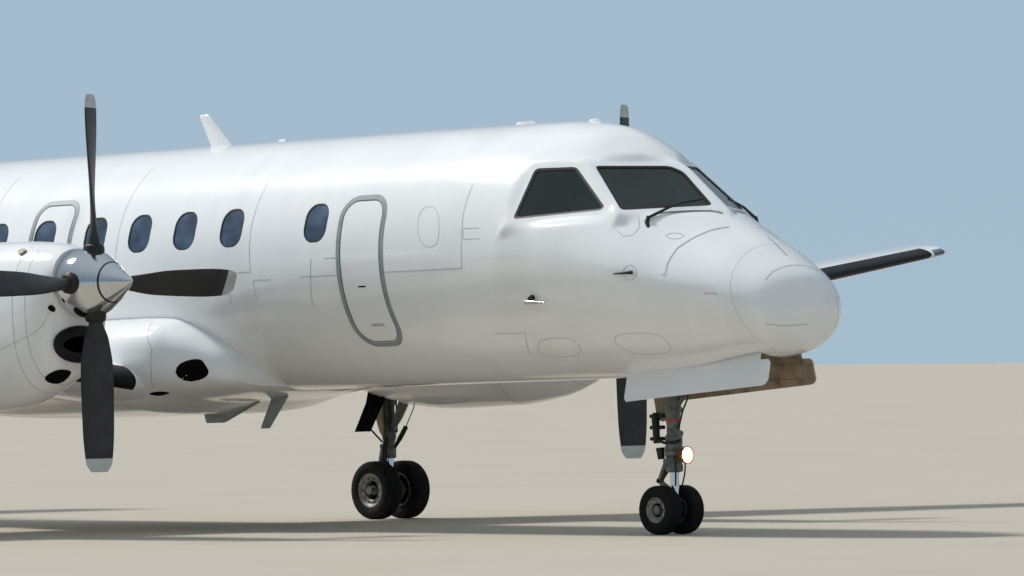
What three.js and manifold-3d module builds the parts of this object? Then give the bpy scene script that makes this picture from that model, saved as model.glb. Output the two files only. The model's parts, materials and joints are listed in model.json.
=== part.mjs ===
// Twin-turboprop airliner standing on its landing gear, in millimetres.
// Airframe datum: +X forward from the nose leg, +Y to port, +Z up from the axis of the round fuselage.
// The whole aircraft then stands nose up by its ground attitude, with its wheels on z = 0.
import * as THREE from "three";
import { mergeVertices } from "three/addons/utils/BufferGeometryUtils.js";
import Module from "manifold-3d";

const wasm = await Module();
wasm.setup();

// Overall dimensions
const LENGTH = 19730;
const NOSE_TIP = 1800;
const HALF_SPAN = 10720;
const RADIUS = 1155;
const ATTITUDE = THREE.MathUtils.degToRad(1.2332);
const AXIS_HEIGHT = 2545; // of the fuselage axis over the nose wheels' contact
const CENTRE = 8063; // from the nose leg back to the middle of the aircraft's length
const SEAM = 0.3; // gap between pieces that touch
const JOINT = 6; // gap round doors
const CLEAR = 12; // gap round moving surfaces

// Fuselage stations, measured from the nose tip
const COCKPIT_END = 3500;
const CABIN_END = 12000;
const AFT_END = 16400;

// Landing gear
const AXLE = 40; // axle radius
const NOSE_TYRE = { radius: 217, width: 150, track: 270, rim: 108 };
const MAIN_TYRE = { radius: 284, width: 195, track: 380, rim: 158 };
const MAIN_X = -7140;
const MAIN_Y = 3355;
const groundAt = (x) => -AXIS_HEIGHT - x * Math.tan(ATTITUDE);
const axleHeight = (x, radius) => groundAt(x) + radius / Math.cos(ATTITUDE);
const NOSE_AXLE = axleHeight(0, NOSE_TYRE.radius);
const MAIN_AXLE = axleHeight(MAIN_X, MAIN_TYRE.radius);
const NOSE_LEG_X = 50;

// Powerplant
const THRUST_Z = -190;
const PROP_X = -3785;
const PROP_RADIUS = 1675;
const COWL_X = -3990;

const PAINT = [0xf2f3f4, 0.25, 0];
const RUBBER = [0x17181a, 0.85, 0];
const GEAR = [0x8d918c, 0.5, 0.3];
const STEEL = [0x9a9da0, 0.35, 0.9];
const POLISHED = [0xc9ccd0, 0.12, 1];
const GLASS = [0x1d2a2c, 0.08, 0];
const BLADE = [0x25272a, 0.5, 0];
const TRIM = [0x4a4d50, 0.7, 0];

const vec = (x, y, z) => new THREE.Vector3(x, y, z);
const rad = THREE.MathUtils.degToRad;

// Solids

function solid(geometry) {
  const bare = geometry.index ? geometry.toNonIndexed() : geometry.clone();
  const points = new THREE.BufferGeometry().setAttribute("position", bare.getAttribute("position"));
  const merged = mergeVertices(points, 1e-3);
  const triVerts = [];
  const index = merged.index.array;
  for (let i = 0; i < index.length; i += 3) {
    const [a, b, c] = [index[i], index[i + 1], index[i + 2]];
    if (a !== b && b !== c && c !== a) triVerts.push(a, b, c);
  }
  const vertProperties = merged.attributes.position.array;
  const mesh = new wasm.Mesh({ numProp: 3, vertProperties, triVerts: new Uint32Array(triVerts) });
  return new wasm.Manifold(mesh);
}

function geometryOf(made) {
  const mesh = made.getMesh();
  return new THREE.BufferGeometry()
    .setAttribute("position", new THREE.BufferAttribute(new Float32Array(mesh.vertProperties), 3))
    .setIndex(new THREE.BufferAttribute(new Uint32Array(mesh.triVerts), 1));
}

const unite = (first, ...others) => others.reduce((all, one) => all.add(one), first);

// Copies of a solid, turned about the X axis or mirrored from port to starboard.
const turned = (made, degrees) => solid(geometryOf(made).rotateX(rad(degrees)));

function mirrored(made) {
  const copy = geometryOf(made).scale(1, -1, 1);
  const index = copy.index.array;
  for (let i = 0; i < index.length; i += 3) [index[i], index[i + 1]] = [index[i + 1], index[i]];
  return solid(copy);
}

// A closed skin through a row of rings. Each ring gives the point at an angle; caps close both ends.
function loft(rings, sides) {
  const last = rings.length - 1;
  const skin = new THREE.CylinderGeometry(1, 1, last, sides, last);
  const place = skin.getAttribute("position");
  for (let i = 0; i < place.count; i++) {
    const ring = rings[Math.round(last / 2 - place.getY(i))];
    const onRim = Math.hypot(place.getX(i), place.getZ(i)) > 0.5;
    const point = onRim ? ring(Math.atan2(place.getX(i), place.getZ(i))) : middle(ring);
    place.setXYZ(i, point.x, point.y, point.z);
  }
  return skin;
}

const middle = (ring) => ring(0).add(ring(Math.PI)).multiplyScalar(0.5);

// A box between two corners.
function block([x0, y0, z0], [x1, y1, z1]) {
  const box = new THREE.BoxGeometry(x1 - x0, y1 - y0, z1 - z0);
  return solid(box.translate((x0 + x1) / 2, (y0 + y1) / 2, (z0 + z1) / 2));
}

// A round bar from one point to another.
function bar(from, to, radius, endRadius = radius, sides = 12) {
  const along = to.clone().sub(from);
  const rod = new THREE.CylinderGeometry(endRadius, radius, along.length(), sides);
  rod.applyQuaternion(new THREE.Quaternion().setFromUnitVectors(vec(0, 1, 0), along.clone().normalize()));
  const centre = from.clone().add(to).multiplyScalar(0.5);
  return solid(rod.translate(centre.x, centre.y, centre.z));
}

// An upright plate with rounded corners in the XZ plane, from y0 to y1.
function plate(x0, x1, z0, z1, corner, y0, y1) {
  const outline = new THREE.Shape();
  outline.moveTo(x0 + corner, z0);
  outline.lineTo(x1 - corner, z0);
  outline.absarc(x1 - corner, z0 + corner, corner, -Math.PI / 2, 0);
  outline.absarc(x1 - corner, z1 - corner, corner, 0, Math.PI / 2);
  outline.absarc(x0 + corner, z1 - corner, corner, Math.PI / 2, Math.PI);
  outline.absarc(x0 + corner, z0 + corner, corner, Math.PI, Math.PI * 1.5);
  const made = new THREE.ExtrudeGeometry(outline, { depth: y1 - y0, bevelEnabled: false, curveSegments: 3 });
  return solid(made.rotateX(Math.PI / 2).translate(0, y1, 0));
}

// Fuselage

// Sections: station from the nose tip, top, widest height, bottom, half width, power of the upper curve
const SECTIONS = [
  [0, -565, -595, -625, 30, 2],
  [20, -460, -604, -713, 177, 2],
  [80, -342, -620, -850, 385, 2],
  [180, -250, -600, -970, 530, 2],
  [360, -130, -530, -1020, 635, 1.93],
  [550, -5, -455, -1035, 710, 1.83],
  [800, 130, -395, -1065, 810, 1.73],
  [1100, 320, -330, -1105, 910, 1.65],
  [1500, 615, -215, -1135, 1020, 1.6],
  [1900, 910, -130, -1150, 1080, 1.68],
  [2300, 1085, -60, -RADIUS, 1125, 1.8],
  [2900, 1150, -20, -RADIUS, 1150, 1.92],
  [3500, RADIUS, 0, -RADIUS, RADIUS, 2],
  [12000, RADIUS, 0, -RADIUS, RADIUS, 2],
  [12800, RADIUS, 0, -1150, RADIUS, 2],
  [14000, 1150, 40, -1000, 1100, 2],
  [15200, 1125, 130, -720, 965, 2],
  [16400, 1075, 260, -390, 770, 2],
  [17600, 990, 400, -50, 540, 2],
  [18800, 830, 500, 290, 290, 2],
  [LENGTH, 650, 580, 530, 60, 2],
];

function sectionAt(station) {
  const next = SECTIONS.findIndex((row) => row[0] >= station);
  if (SECTIONS[next][0] === station) return SECTIONS[next];
  const before = SECTIONS[next - 1];
  const share = (station - before[0]) / (SECTIONS[next][0] - before[0]);
  return before.map((value, i) => THREE.MathUtils.lerp(value, SECTIONS[next][i], share));
}

// A length of fuselage, grown outward by a margin.
function fuselage(from, to, grow = 0, sides = 28) {
  const stations = [from, ...SECTIONS.map((row) => row[0]).filter((s) => s > from && s < to), to];
  const rings = stations.map((station) => {
    const [, top, waist, bottom, half, power] = sectionAt(station);
    return (angle) => {
      const upper = Math.cos(angle) > 0;
      const rise = (upper ? top - waist : waist - bottom) + grow;
      const bend = (value) => Math.sign(value) * Math.abs(value) ** (upper ? 2 / power : 1);
      const y = -(half + grow) * bend(Math.sin(angle));
      return vec(NOSE_TIP - station, y, waist + rise * bend(Math.cos(angle)));
    };
  });
  return solid(loft(rings, sides));
}

const DOOR_DEPTH = 120;
const AFT_WALL = 180; // of the aft fuselage, which is hollow and open to the cabin's rear wall

// Doors in the round cabin: station of the middle, width, bottom, top, corner radius, side (1 is port)
const DOORS = {
  passenger_door: [4560, 690, -815, 560, 90, 1],
  forward_exit: [4500, 505, -755, 505, 90, -1],
  overwing_exit_left: [8765, 510, -150, 640, 120, 1],
  overwing_exit_right: [8765, 510, -150, 640, 120, -1],
  cargo_door: [12850, 1300, -600, 640, 110, 1],
};

// The outer skin of the cabin at a door, down to the door's depth.
function doorRegion([station, width, bottom, top, corner, side], margin, depth) {
  const x = NOSE_TIP - station;
  const half = width / 2 + margin;
  const far = side * RADIUS * 1.2;
  const [y0, y1] = side > 0 ? [RADIUS / 6, far] : [far, -RADIUS / 6];
  const region = plate(x - half, x + half, bottom - margin, top + margin, corner + margin, y0, y1);
  const length = width + 400;
  return region.subtract(fuselage(station - length / 2, station + length / 2, -depth, 40));
}

// Wing

const WING_ROOT = 1250; // where the wing panel starts, inside the root fairing
const WING = {
  leadX: -5270,
  sweep: -1117 / HALF_SPAN,
  root: 2837,
  taper: -1773 / HALF_SPAN,
  z: -1080 - 1155 * 0.1343,
  rise: 0.1343,
  thick: 0.16,
  thin: -0.04 / HALF_SPAN,
  camber: 0.02,
};
const TAILPLANE = {
  leadX: NOSE_TIP - 16850,
  sweep: -0.24,
  root: 2060,
  taper: -0.235,
  z: 330,
  rise: 0.26,
  thick: 0.11,
  thin: 0,
  camber: 0,
};
const FIN = {
  leadX: NOSE_TIP - 14620,
  sweep: -0.69,
  root: 4180,
  taper: -0.59,
  z: 0,
  rise: 0,
  thick: 0.1,
  thin: 0,
  camber: 0,
};

const chordAt = (foil, span) => foil.root + foil.taper * span;
const leadAt = (foil, span) => foil.leadX + foil.sweep * span;

// Half thickness of a wing section at a share of its chord, with a blunt trailing edge.
function halfThickness(foil, span, share) {
  const chord = chordAt(foil, span);
  const ratio = foil.thick + foil.thin * span;
  const nose = 0.2969 * Math.sqrt(share) - 0.126 * share;
  const curve = nose - 0.3516 * share ** 2 + 0.2843 * share ** 3 - 0.1036 * share ** 4;
  return 5 * ratio * chord * curve + 4 * share;
}

const meanLine = (foil, span, share) => 4 * foil.camber * chordAt(foil, span) * share * (1 - share);

// Height of a wing's mean line above the airframe datum.
const heightAt = (foil, span, share) => foil.z + foil.rise * span + meanLine(foil, span, share);

// A wing from one span position to another, grown outward by a margin.
function wing(foil, inner, outer, grow = 0, sides = 22) {
  const spans = [outer, inner];
  const rings = spans.map((span) => (angle) => {
    const share = (1 - Math.sin(angle)) / 2;
    const chord = chordAt(foil, span);
    const up = Math.cos(angle) > 0 ? 1 : -1;
    const half = halfThickness(foil, span, share) + grow;
    const onEnd = Math.abs(Math.cos(angle)) < 1e-9;
    const z = heightAt(foil, span, share) + (onEnd ? 0 : up * half);
    return vec(leadAt(foil, span) + grow - share * (chord + 2 * grow), span, z);
  });
  return solid(loft(rings, sides));
}

// The point on a hinge line, at a share of the chord.
const hingePoint = (foil, span, share) =>
  vec(leadAt(foil, span) - share * chordAt(foil, span), span, heightAt(foil, span, share));

// The frame of a hinge line: X forward, Y outward along the line, Z up, its origin on the line.
function hingeFrame(foil, share, span) {
  const here = hingePoint(foil, span, share);
  const along = hingePoint(foil, span + 100, share).sub(here).normalize();
  const forward = vec(1, 0, 0).addScaledVector(along, -along.x).normalize();
  const up = forward.clone().cross(along);
  return new THREE.Matrix4().makeBasis(forward, along, up).setPosition(here);
}

// Everything behind a hinge line between two span positions, its ends square to the line.
function behind(foil, share, inner, outer, ahead = 0) {
  const reach = 600;
  const length = hingePoint(foil, outer, share).distanceTo(hingePoint(foil, inner, share));
  const box = new THREE.BoxGeometry(foil.root + ahead, length, reach * 2);
  box.translate((ahead - foil.root) / 2, length / 2, 0);
  return solid(box.applyMatrix4(hingeFrame(foil, share, inner)));
}

// A round nose along a hinge line, a little thinner than the wing there.
function hingeNose(foil, share, inner, outer) {
  const [innerRadius, outerRadius] = [inner, outer].map((span) => 0.96 * halfThickness(foil, span, share));
  return bar(hingePoint(foil, inner, share), hingePoint(foil, outer, share), innerRadius, outerRadius);
}

// A block that lies square on a hinge line: x ahead and behind, half height, half thickness along the line.
function onHinge(foil, share, span, ahead, back, half, thick) {
  const box = new THREE.BoxGeometry(ahead + back, thick * 2, half * 2);
  box.translate((ahead - back) / 2, 0, 0);
  return solid(box.applyMatrix4(hingeFrame(foil, share, span)));
}

const LUG = 10; // half thickness of a hinge lug

// A control surface with a round nose, and what has to be cut from the wing for it.
function control(foil, whole, share, inner, outer, hinges) {
  const body = whole.intersect(behind(foil, share, inner, outer));
  let surface = body.add(hingeNose(foil, share, inner, outer));
  const widest = halfThickness(foil, inner, share);
  let base = whole.subtract(behind(foil, share, inner - CLEAR, outer + CLEAR, widest + CLEAR));
  for (const span of hinges) {
    surface = surface.subtract(onHinge(foil, share, span, 200, 45, 200, LUG + SEAM));
    base = base.add(onHinge(foil, share, span, widest + CLEAR + 20, 20, 18, LUG));
  }
  return { surface, base };
}

const FLAP_SHARE = 0.73;
const FLAP_PIVOT_DROP = 190; // of the flap pivots, square down from the mean line
const PLATE = 10; // half thickness of a flap bracket

// A flap with the arms that hang it from its pivots.
function flap(foil, whole, inner, outer, hinges) {
  const arms = hinges.map((span) => {
    const outline = [[25, -25], [25, 25], [-130, FLAP_PIVOT_DROP], [-330, FLAP_PIVOT_DROP], [-60, -25]];
    return bracket(foil, outline, span, -PLATE - SEAM / 2);
  });
  return unite(whole.intersect(behind(foil, FLAP_SHARE, inner, outer)), ...arms);
}

// The brackets under the wing that carry a flap's pivots.
function hangers(foil, hinges) {
  const outline = [[25, -28], [330, FLAP_PIVOT_DROP], [60, FLAP_PIVOT_DROP], [-25, 28], [-25, -28]];
  return unite(...hinges.map((span) => bracket(foil, outline, span, PLATE + SEAM / 2)));
}

// A plate square to a flap's hinge axis, under the wing's mean line, its outline given from the pivot.
function bracket(foil, outline, span, away) {
  const shape = new THREE.Shape(outline.map(([x, z]) => new THREE.Vector2(x, z)));
  const made = new THREE.ExtrudeGeometry(shape, { depth: PLATE * 2, bevelEnabled: false });
  made.rotateX(Math.PI / 2).translate(0, away + PLATE, -FLAP_PIVOT_DROP);
  return solid(made.applyMatrix4(hingeFrame(foil, FLAP_SHARE, span))).intersect(belowMean(foil, span));
}

// The space under a wing's mean line round a span position.
function belowMean(foil, span) {
  const x = leadAt(foil, span);
  const z = heightAt(foil, span, FLAP_SHARE) - 12;
  return block([x - 4000, span - 100, z - 900], [x + 500, span + 100, z]);
}

// Nacelle sections: x, top, widest height, bottom, half width
const NACELLE = [
  [COWL_X, 125, -190, -520, 325],
  [-4055, 150, -300, -890, 370],
  [-4300, 190, -400, -1100, 430],
  [-4750, 215, -480, -1260, 470],
  [-5300, 220, -520, -1322, 500],
  [-6100, 160, -540, -1335, 500],
  [-6800, -60, -600, -1285, 480],
  [-7450, -380, -760, -1110, 380],
  [-7980, -640, -760, -850, 140],
];

function nacelleShell() {
  const rings = NACELLE.map(([x, top, waist, bottom, half]) => (angle) => {
    const square = (value) => Math.sign(value) * Math.abs(value) ** 0.86;
    const rise = Math.cos(angle) > 0 ? top - waist : waist - bottom;
    return vec(x, MAIN_Y - half * square(Math.sin(angle)), waist + rise * square(Math.cos(angle)));
  });
  return solid(loft(rings, 24));
}

const ENGINE = { radius: 300, front: -4300, back: -5590 };
const COWL_END = -4400; // of the nose cowl that holds the chin intake
const SHAFT = 85; // radius of the propeller shaft, which reaches back to the engine
const SHAFT_GAP = 8;
const INTAKE = { z: -726, halfWidth: 245, halfHeight: 130, depth: 260 };
const EXHAUST = { x: -6500, y: MAIN_Y + 395, z: -1090, radius: 130, length: 900, bore: 300 };
const BAY = { front: -6780, back: -7440, half: 215, roof: -1010 };

// A round bar along the aircraft.
const lengthwise = (x0, x1, y, z, radius, sides) => bar(vec(x0, y, z), vec(x1, y, z), radius, radius, sides);

// The nose cowl and the nacelle body behind it.
function nacelle() {
  const room = lengthwise(ENGINE.back - 100, ENGINE.front + SEAM, MAIN_Y, THRUST_Z, ENGINE.radius, 24);
  const shaftHole = lengthwise(ENGINE.front, COWL_X + 50, MAIN_Y, THRUST_Z, SHAFT + SHAFT_GAP, 20);
  let made = nacelleShell().subtract(room).subtract(shaftHole);
  const throat = new THREE.CylinderGeometry(1, 0.8, INTAKE.depth + 100, 20);
  throat.rotateZ(-Math.PI / 2).scale(1, INTAKE.halfWidth, INTAKE.halfHeight);
  made = made.subtract(solid(throat.translate(COWL_X - 70 - INTAKE.depth / 2 + 50, MAIN_Y, INTAKE.z)));
  made = made.subtract(wing(WING, WING_ROOT, HALF_SPAN, 1));
  const { x, y, z, radius } = EXHAUST;
  made = made.subtract(lengthwise(x - 1800, x + SEAM, y, z, radius + SEAM * 2, 24));
  made = made.subtract(block([BAY.back, MAIN_Y - BAY.half, -2000], [BAY.front, MAIN_Y + BAY.half, BAY.roof]));
  const ahead = (face) => block([face, MAIN_Y - RADIUS, -2000], [0, MAIN_Y + RADIUS, 2000]);
  return { cowl: made.intersect(ahead(COWL_END + SEAM)), body: made.subtract(ahead(COWL_END)) };
}

// The exhaust pipe, which is bored out at its open end.
function exhaust() {
  const { x, y, z, radius, length, bore } = EXHAUST;
  const profile = [
    [0, 0],
    [radius, 0],
    [radius, length],
    [radius - 12, length],
    [radius - 12, length - bore],
    [0, length - bore],
  ].map(([r, h]) => new THREE.Vector2(r, -h));
  const pipe = new THREE.LatheGeometry(profile.reverse(), 24);
  return solid(pipe.rotateZ(-Math.PI / 2).translate(x, y, z));
}

// Propeller blade sections: radius, chord, thickness, pitch in degrees
const BLADE_SECTIONS = [
  [150, 110, 110, 60],
  [330, 120, 105, 58],
  [500, 225, 60, 53],
  [800, 290, 38, 43],
  [1250, 285, 24, 31],
  [1600, 240, 14, 24],
  [PROP_RADIUS, 150, 9, 23],
];

// A blade standing up from the hub, its leading edge turned into a clockwise rotation seen from behind.
function bladeShape() {
  const rings = [...BLADE_SECTIONS].reverse().map(([radius, chord, thickness, pitch]) => (angle) => {
    const across = (chord / 2) * Math.sin(angle);
    const fat = (thickness / 2) * Math.cos(angle) * (1 + 0.35 * Math.sin(angle));
    const turn = rad(pitch);
    const x = across * Math.sin(turn) - fat * Math.cos(turn);
    const y = -across * Math.cos(turn) - fat * Math.sin(turn);
    return vec(x, y, radius);
  });
  return solid(loft(rings, 10));
}

// Spinner profile: distance ahead of the propeller's plane, radius
const SPINNER = [
  [-195, 298],
  [-100, 309],
  [-20, 303],
  [60, 279],
  [150, 233],
  [243, 178],
  [330, 125],
  [400, 82],
  [450, 50],
  [480, 28],
  [500, 0],
];

function spinner() {
  const engineFace = ENGINE.front - PROP_X + SEAM;
  const [[back]] = SPINNER;
  const profile = [[engineFace, 0], [engineFace, SHAFT], [back, SHAFT], ...SPINNER];
  const points = profile.map(([ahead, radius]) => new THREE.Vector2(radius, ahead));
  return solid(new THREE.LatheGeometry(points, 20).rotateZ(-Math.PI / 2));
}

const BLADES = 4;
const HUB = { radius: 175, length: 170 };

// The four blades with their hub, which the spinner leaves room for.
function blades() {
  const hub = solid(new THREE.CylinderGeometry(HUB.radius, HUB.radius, HUB.length, 16).rotateZ(Math.PI / 2));
  let made = hub;
  for (let i = 0; i < BLADES; i++) {
    made = made.add(turned(bladeShape(), (i * 360) / BLADES));
  }
  return made;
}

// The spinner with room for the hub and a hole for each blade's shank.
function spinnerWithHoles() {
  let made = spinner();
  const room = new THREE.CylinderGeometry(HUB.radius + SEAM, HUB.radius + SEAM, HUB.length + 2 * SEAM, 16);
  made = made.subtract(solid(room.rotateZ(Math.PI / 2)));
  for (let i = 0; i < BLADES; i++) {
    const hole = turned(bar(vec(0, 0, 100), vec(0, 0, 400), 68), (i * 360) / BLADES);
    made = made.subtract(hole);
  }
  return made;
}

// Wheels

const TYRE_SIDES = 20;

// A tyre on its wheel, with one flat of its round tread down on the ground.
function tyre({ radius, width, rim }) {
  const half = width / 2;
  const flat = Math.PI / TYRE_SIDES;
  const profile = [
    [AXLE + 1, half * 0.62],
    [rim * 0.9, half * 0.4],
    [rim, half * 0.86],
    [rim * 1.3, half],
    [radius * 0.93, half * 0.85],
    [radius / Math.cos(flat), half * 0.4],
  ];
  const mirrored = [...profile].reverse().map(([r, h]) => [r, -h]);
  const outline = [...profile, ...mirrored].map(([r, h]) => new THREE.Vector2(r, h));
  outline.push(outline[0].clone());
  const made = new THREE.LatheGeometry(outline.reverse(), TYRE_SIDES, flat);
  return solid(made.rotateY(ATTITUDE));
}

const STRUT_FOOT = -1800; // of the main legs

// The leg of a main wheel pair: strut, piston, axle, scissor link and drag brace.
function mainLeg() {
  const top = BAY.roof - SEAM;
  const y = MAIN_Y;
  const strut = bar(vec(MAIN_X, y, STRUT_FOOT), vec(MAIN_X, y, top), 82);
  const piston = bar(vec(MAIN_X, y, MAIN_AXLE), vec(MAIN_X, y, STRUT_FOOT + 50), 46);
  const reach = (MAIN_TYRE.track + MAIN_TYRE.width) / 2 + 5;
  const axle = bar(vec(MAIN_X, y - reach, MAIN_AXLE), vec(MAIN_X, y + reach, MAIN_AXLE), AXLE);
  const pin = vec(MAIN_X - 125, y, -1850);
  const upperLink = bar(vec(MAIN_X, y, -1650), pin, 26, 26, 8);
  const lowerLink = bar(pin, vec(MAIN_X, y, -2010), 26, 26, 8);
  const brace = bar(vec(MAIN_X, y, -1560), vec(BAY.front - 70, y, top - 60), 34, 34, 10);
  const crossEnd = (side) => vec(BAY.front - 70, y + side * (BAY.half - 25), top - 60);
  const crossBeam = bar(crossEnd(-1), crossEnd(1), 40, 40, 10);
  const pad = block([BAY.front - 110, y - 60, top - 60], [BAY.front - 30, y + 60, top]);
  return unite(strut, piston, axle, upperLink, lowerLink, brace, crossBeam, pad);
}

const GEAR_DOOR = 14; // thickness of the landing gear doors
const NOSE_BAY = { front: 1400, back: -260, half: 285, roof: -780 };

// Nose gear door outline: x, z. Its front end runs on below the radome, and it leans outward below the bay.
const NOSE_DOOR = [
  [-220, -1370],
  [1510, -1262],
  [1510, -1040],
  [1385, -1040],
  [1385, -880],
  [-220, -1000],
];

const NOSE_DOOR_LEAN = { share: 0.22, from: -1112 };

function noseDoor() {
  const outline = new THREE.Shape(NOSE_DOOR.map(([x, z]) => new THREE.Vector2(x, z)));
  const made = new THREE.ExtrudeGeometry(outline, { depth: GEAR_DOOR - SEAM, bevelEnabled: false });
  const { share, from } = NOSE_DOOR_LEAN;
  const lean = new THREE.Matrix4().set(1, 0, 0, 0, 0, 1, -share, share * from, 0, 0, 1, 0, 0, 0, 0, 1);
  return solid(made.rotateX(Math.PI / 2).translate(0, NOSE_BAY.half - SEAM, 0).applyMatrix4(lean));
}

// The main gear doors hang from the sides of the bay. Below it the inner one splays, and the outer one is short.
const MAIN_DOOR = {
  front: -6960,
  back: -7180,
  top: -1080,
  bend: -1215,
  inner: { bottom: -1535, splay: 425 },
  outer: { bottom: -1260, splay: 235 },
};

function mainDoor(away) {
  const { front, back, top, bend } = MAIN_DOOR;
  const { bottom, splay } = away < 0 ? MAIN_DOOR.inner : MAIN_DOOR.outer;
  const edge = BAY.half - SEAM;
  const section = [
    [edge - GEAR_DOOR, top],
    [edge, top],
    [edge, bend],
    [splay, bottom],
    [splay - GEAR_DOOR, bottom],
    [edge - GEAR_DOOR, bend],
  ].map(([y, z]) => new THREE.Vector2(MAIN_Y + away * y, z));
  const depth = front - back;
  const made = new THREE.ExtrudeGeometry(new THREE.Shape(section), { depth, bevelEnabled: false });
  const upright = new THREE.Matrix4().makeBasis(vec(0, 1, 0), vec(0, 0, 1), vec(1, 0, 0));
  return solid(made.applyMatrix4(upright).translate(back, 0, 0));
}

const COLLAR = { top: -1760, bottom: -1900 }; // of the nose leg's steered part

// The fixed upper part of the nose leg with its drag brace.
function noseLeg() {
  const top = NOSE_BAY.roof - SEAM;
  const strut = bar(vec(NOSE_LEG_X, 0, COLLAR.top), vec(NOSE_LEG_X, 0, top), 75);
  const brace = bar(vec(NOSE_LEG_X, 0, -1450), vec(640, 0, top - 50), 30, 30, 10);
  const crossBeam = bar(vec(640, -200, top - 50), vec(640, 200, top - 50), 36, 36, 10);
  const pad = block([600, -60, top - 50], [680, 60, top]);
  return unite(strut, brace, crossBeam, pad);
}

// The part of the nose leg that steers: collar, piston, scissor link and axle.
function noseSteering() {
  const collar = bar(vec(NOSE_LEG_X, 0, COLLAR.bottom), vec(NOSE_LEG_X, 0, COLLAR.top - SEAM), 70);
  const piston = bar(vec(NOSE_LEG_X, 0, NOSE_AXLE), vec(NOSE_LEG_X, 0, COLLAR.bottom + 10), 42);
  const axle = bar(vec(0, -190, NOSE_AXLE), vec(0, 190, NOSE_AXLE), AXLE);
  const fork = block([-30, -35, NOSE_AXLE - 35], [NOSE_LEG_X + 20, 35, NOSE_AXLE + 35]);
  const upperLink = bar(vec(NOSE_LEG_X, 0, -1860), vec(NOSE_LEG_X - 165, 0, -1985), 20, 20, 8);
  const lowerLink = bar(vec(NOSE_LEG_X - 165, 0, -1985), vec(NOSE_LEG_X - 30, 0, -2150), 20, 20, 8);
  const linkLug = bar(vec(NOSE_LEG_X - 30, 0, -2150), vec(NOSE_LEG_X, 0, -2150), 20, 20, 8);
  return unite(collar, piston, axle, fork, upperLink, lowerLink, linkLug);
}

// Nose

// The joint behind the radome leans, further forward below: its place at the axis, and its slope
const RADOME_JOINT = { x: 1292, lean: 0.263 };

// The part of a solid ahead of the radome's joint (side 1) or behind it (side -1).
function besideJoint(made, side) {
  const { x, lean } = RADOME_JOINT;
  const offset = x / Math.hypot(1, lean);
  return made.trimByPlane([side, 0, side * lean], side * offset + SEAM / 2);
}

// Window corners on the starboard side: x, y, z, going round
const WINDSCREEN = [
  [-202, -643, 708],
  [189, -99, 694],
  [303, -42, 637],
  [691, -83, 325],
  [249, -782, 297],
];
const SIDE_WINDOW = [
  [-787, -1094, 259],
  [-754, -830, 708],
  [-347, -722, 704],
  [77, -814, 339],
  [62, -837, 305],
];

// A flat pane through a window's corners, from one depth to another along the outward normal.
// Its edge is grown by a margin.
function pane(corners, side, inward, outward, grow) {
  const points = corners.map(([x, y, z]) => vec(x, -side * y, z));
  const centre = points.reduce((sum, p) => sum.clone().add(p)).divideScalar(points.length);
  const normal = vec(0, 0, 0);
  points.forEach((p, i) => {
    const q = points[(i + 1) % points.length];
    normal.add(p.clone().sub(centre).cross(q.clone().sub(centre)));
  });
  normal.normalize();
  if (normal.y * side < 0) normal.negate();
  const across = vec(1, 0, 0).cross(normal).normalize().cross(normal).normalize();
  const up = normal.clone().cross(across);
  const flat = points.map((p) => {
    const d = p.clone().sub(centre);
    const away = new THREE.Vector2(d.dot(across), d.dot(up));
    return away.setLength(away.length() + grow);
  });
  if (THREE.ShapeUtils.isClockWise(flat)) flat.reverse();
  const depth = inward + outward;
  const made = new THREE.ExtrudeGeometry(new THREE.Shape(flat), { depth, bevelEnabled: false });
  const place = new THREE.Matrix4().makeBasis(across, up, normal);
  place.setPosition(centre.clone().addScaledVector(normal, -inward));
  return solid(made.applyMatrix4(place));
}

const WALL = 60;
const FLOOR = -420;
const PANE = { inward: 16, outward: 0, fit: 0.3 };

function noseSection() {
  let made = besideJoint(fuselage(0, COCKPIT_END - SEAM), -1);
  const room = fuselage(1150, 3250, -WALL).subtract(block([-4000, -2000, -2000], [2000, 2000, FLOOR]));
  made = made.subtract(room);
  for (const side of [1, -1]) {
    for (const corners of [WINDSCREEN, SIDE_WINDOW]) {
      made = made.subtract(pane(corners, side, 0, 200, 45));
      made = made.subtract(pane(corners, side, 260, 10, 0));
    }
  }
  const { front, back, half, roof } = NOSE_BAY;
  return made.subtract(block([back, -half, -1600], [front, half, roof]));
}

function seat() {
  const x = -650;
  const y = 430;
  const base = block([x - 180, y - 160, FLOOR + SEAM], [x + 180, y + 160, -150]);
  const cushion = block([x - 230, y - 230, -150], [x + 230, y + 230, -20]);
  const back = block([x - 330, y - 220, -60], [x - 210, y + 220, 520]);
  const head = block([x - 320, y - 130, 520], [x - 230, y + 130, 660]);
  return unite(base, cushion, back, head);
}

function instrumentPanel() {
  const board = block([60, -700, FLOOR + SEAM], [200, 700, 180]);
  const hood = block([-60, -640, 160], [300, 640, 215]);
  const pedestal = block([-500, -110, FLOOR + SEAM], [100, 110, -60]);
  return unite(board, hood, pedestal);
}

// Wing root fairing sections: x, half width, top, bottom
const FAIRING = [
  [-4610, 920, -880, -1120],
  [-4700, 1070, -740, -1155],
  [-4860, 1190, -610, -1185],
  [-5080, 1320, -480, -1215],
  [-5300, 1420, -410, -1240],
  [-5500, 1450, -395, -1290],
  [-5800, 1470, -390, -1350],
  [-7500, 1450, -420, -1350],
  [-8400, 1300, -620, -1310],
  [-9300, 850, -900, -1175],
];

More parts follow.
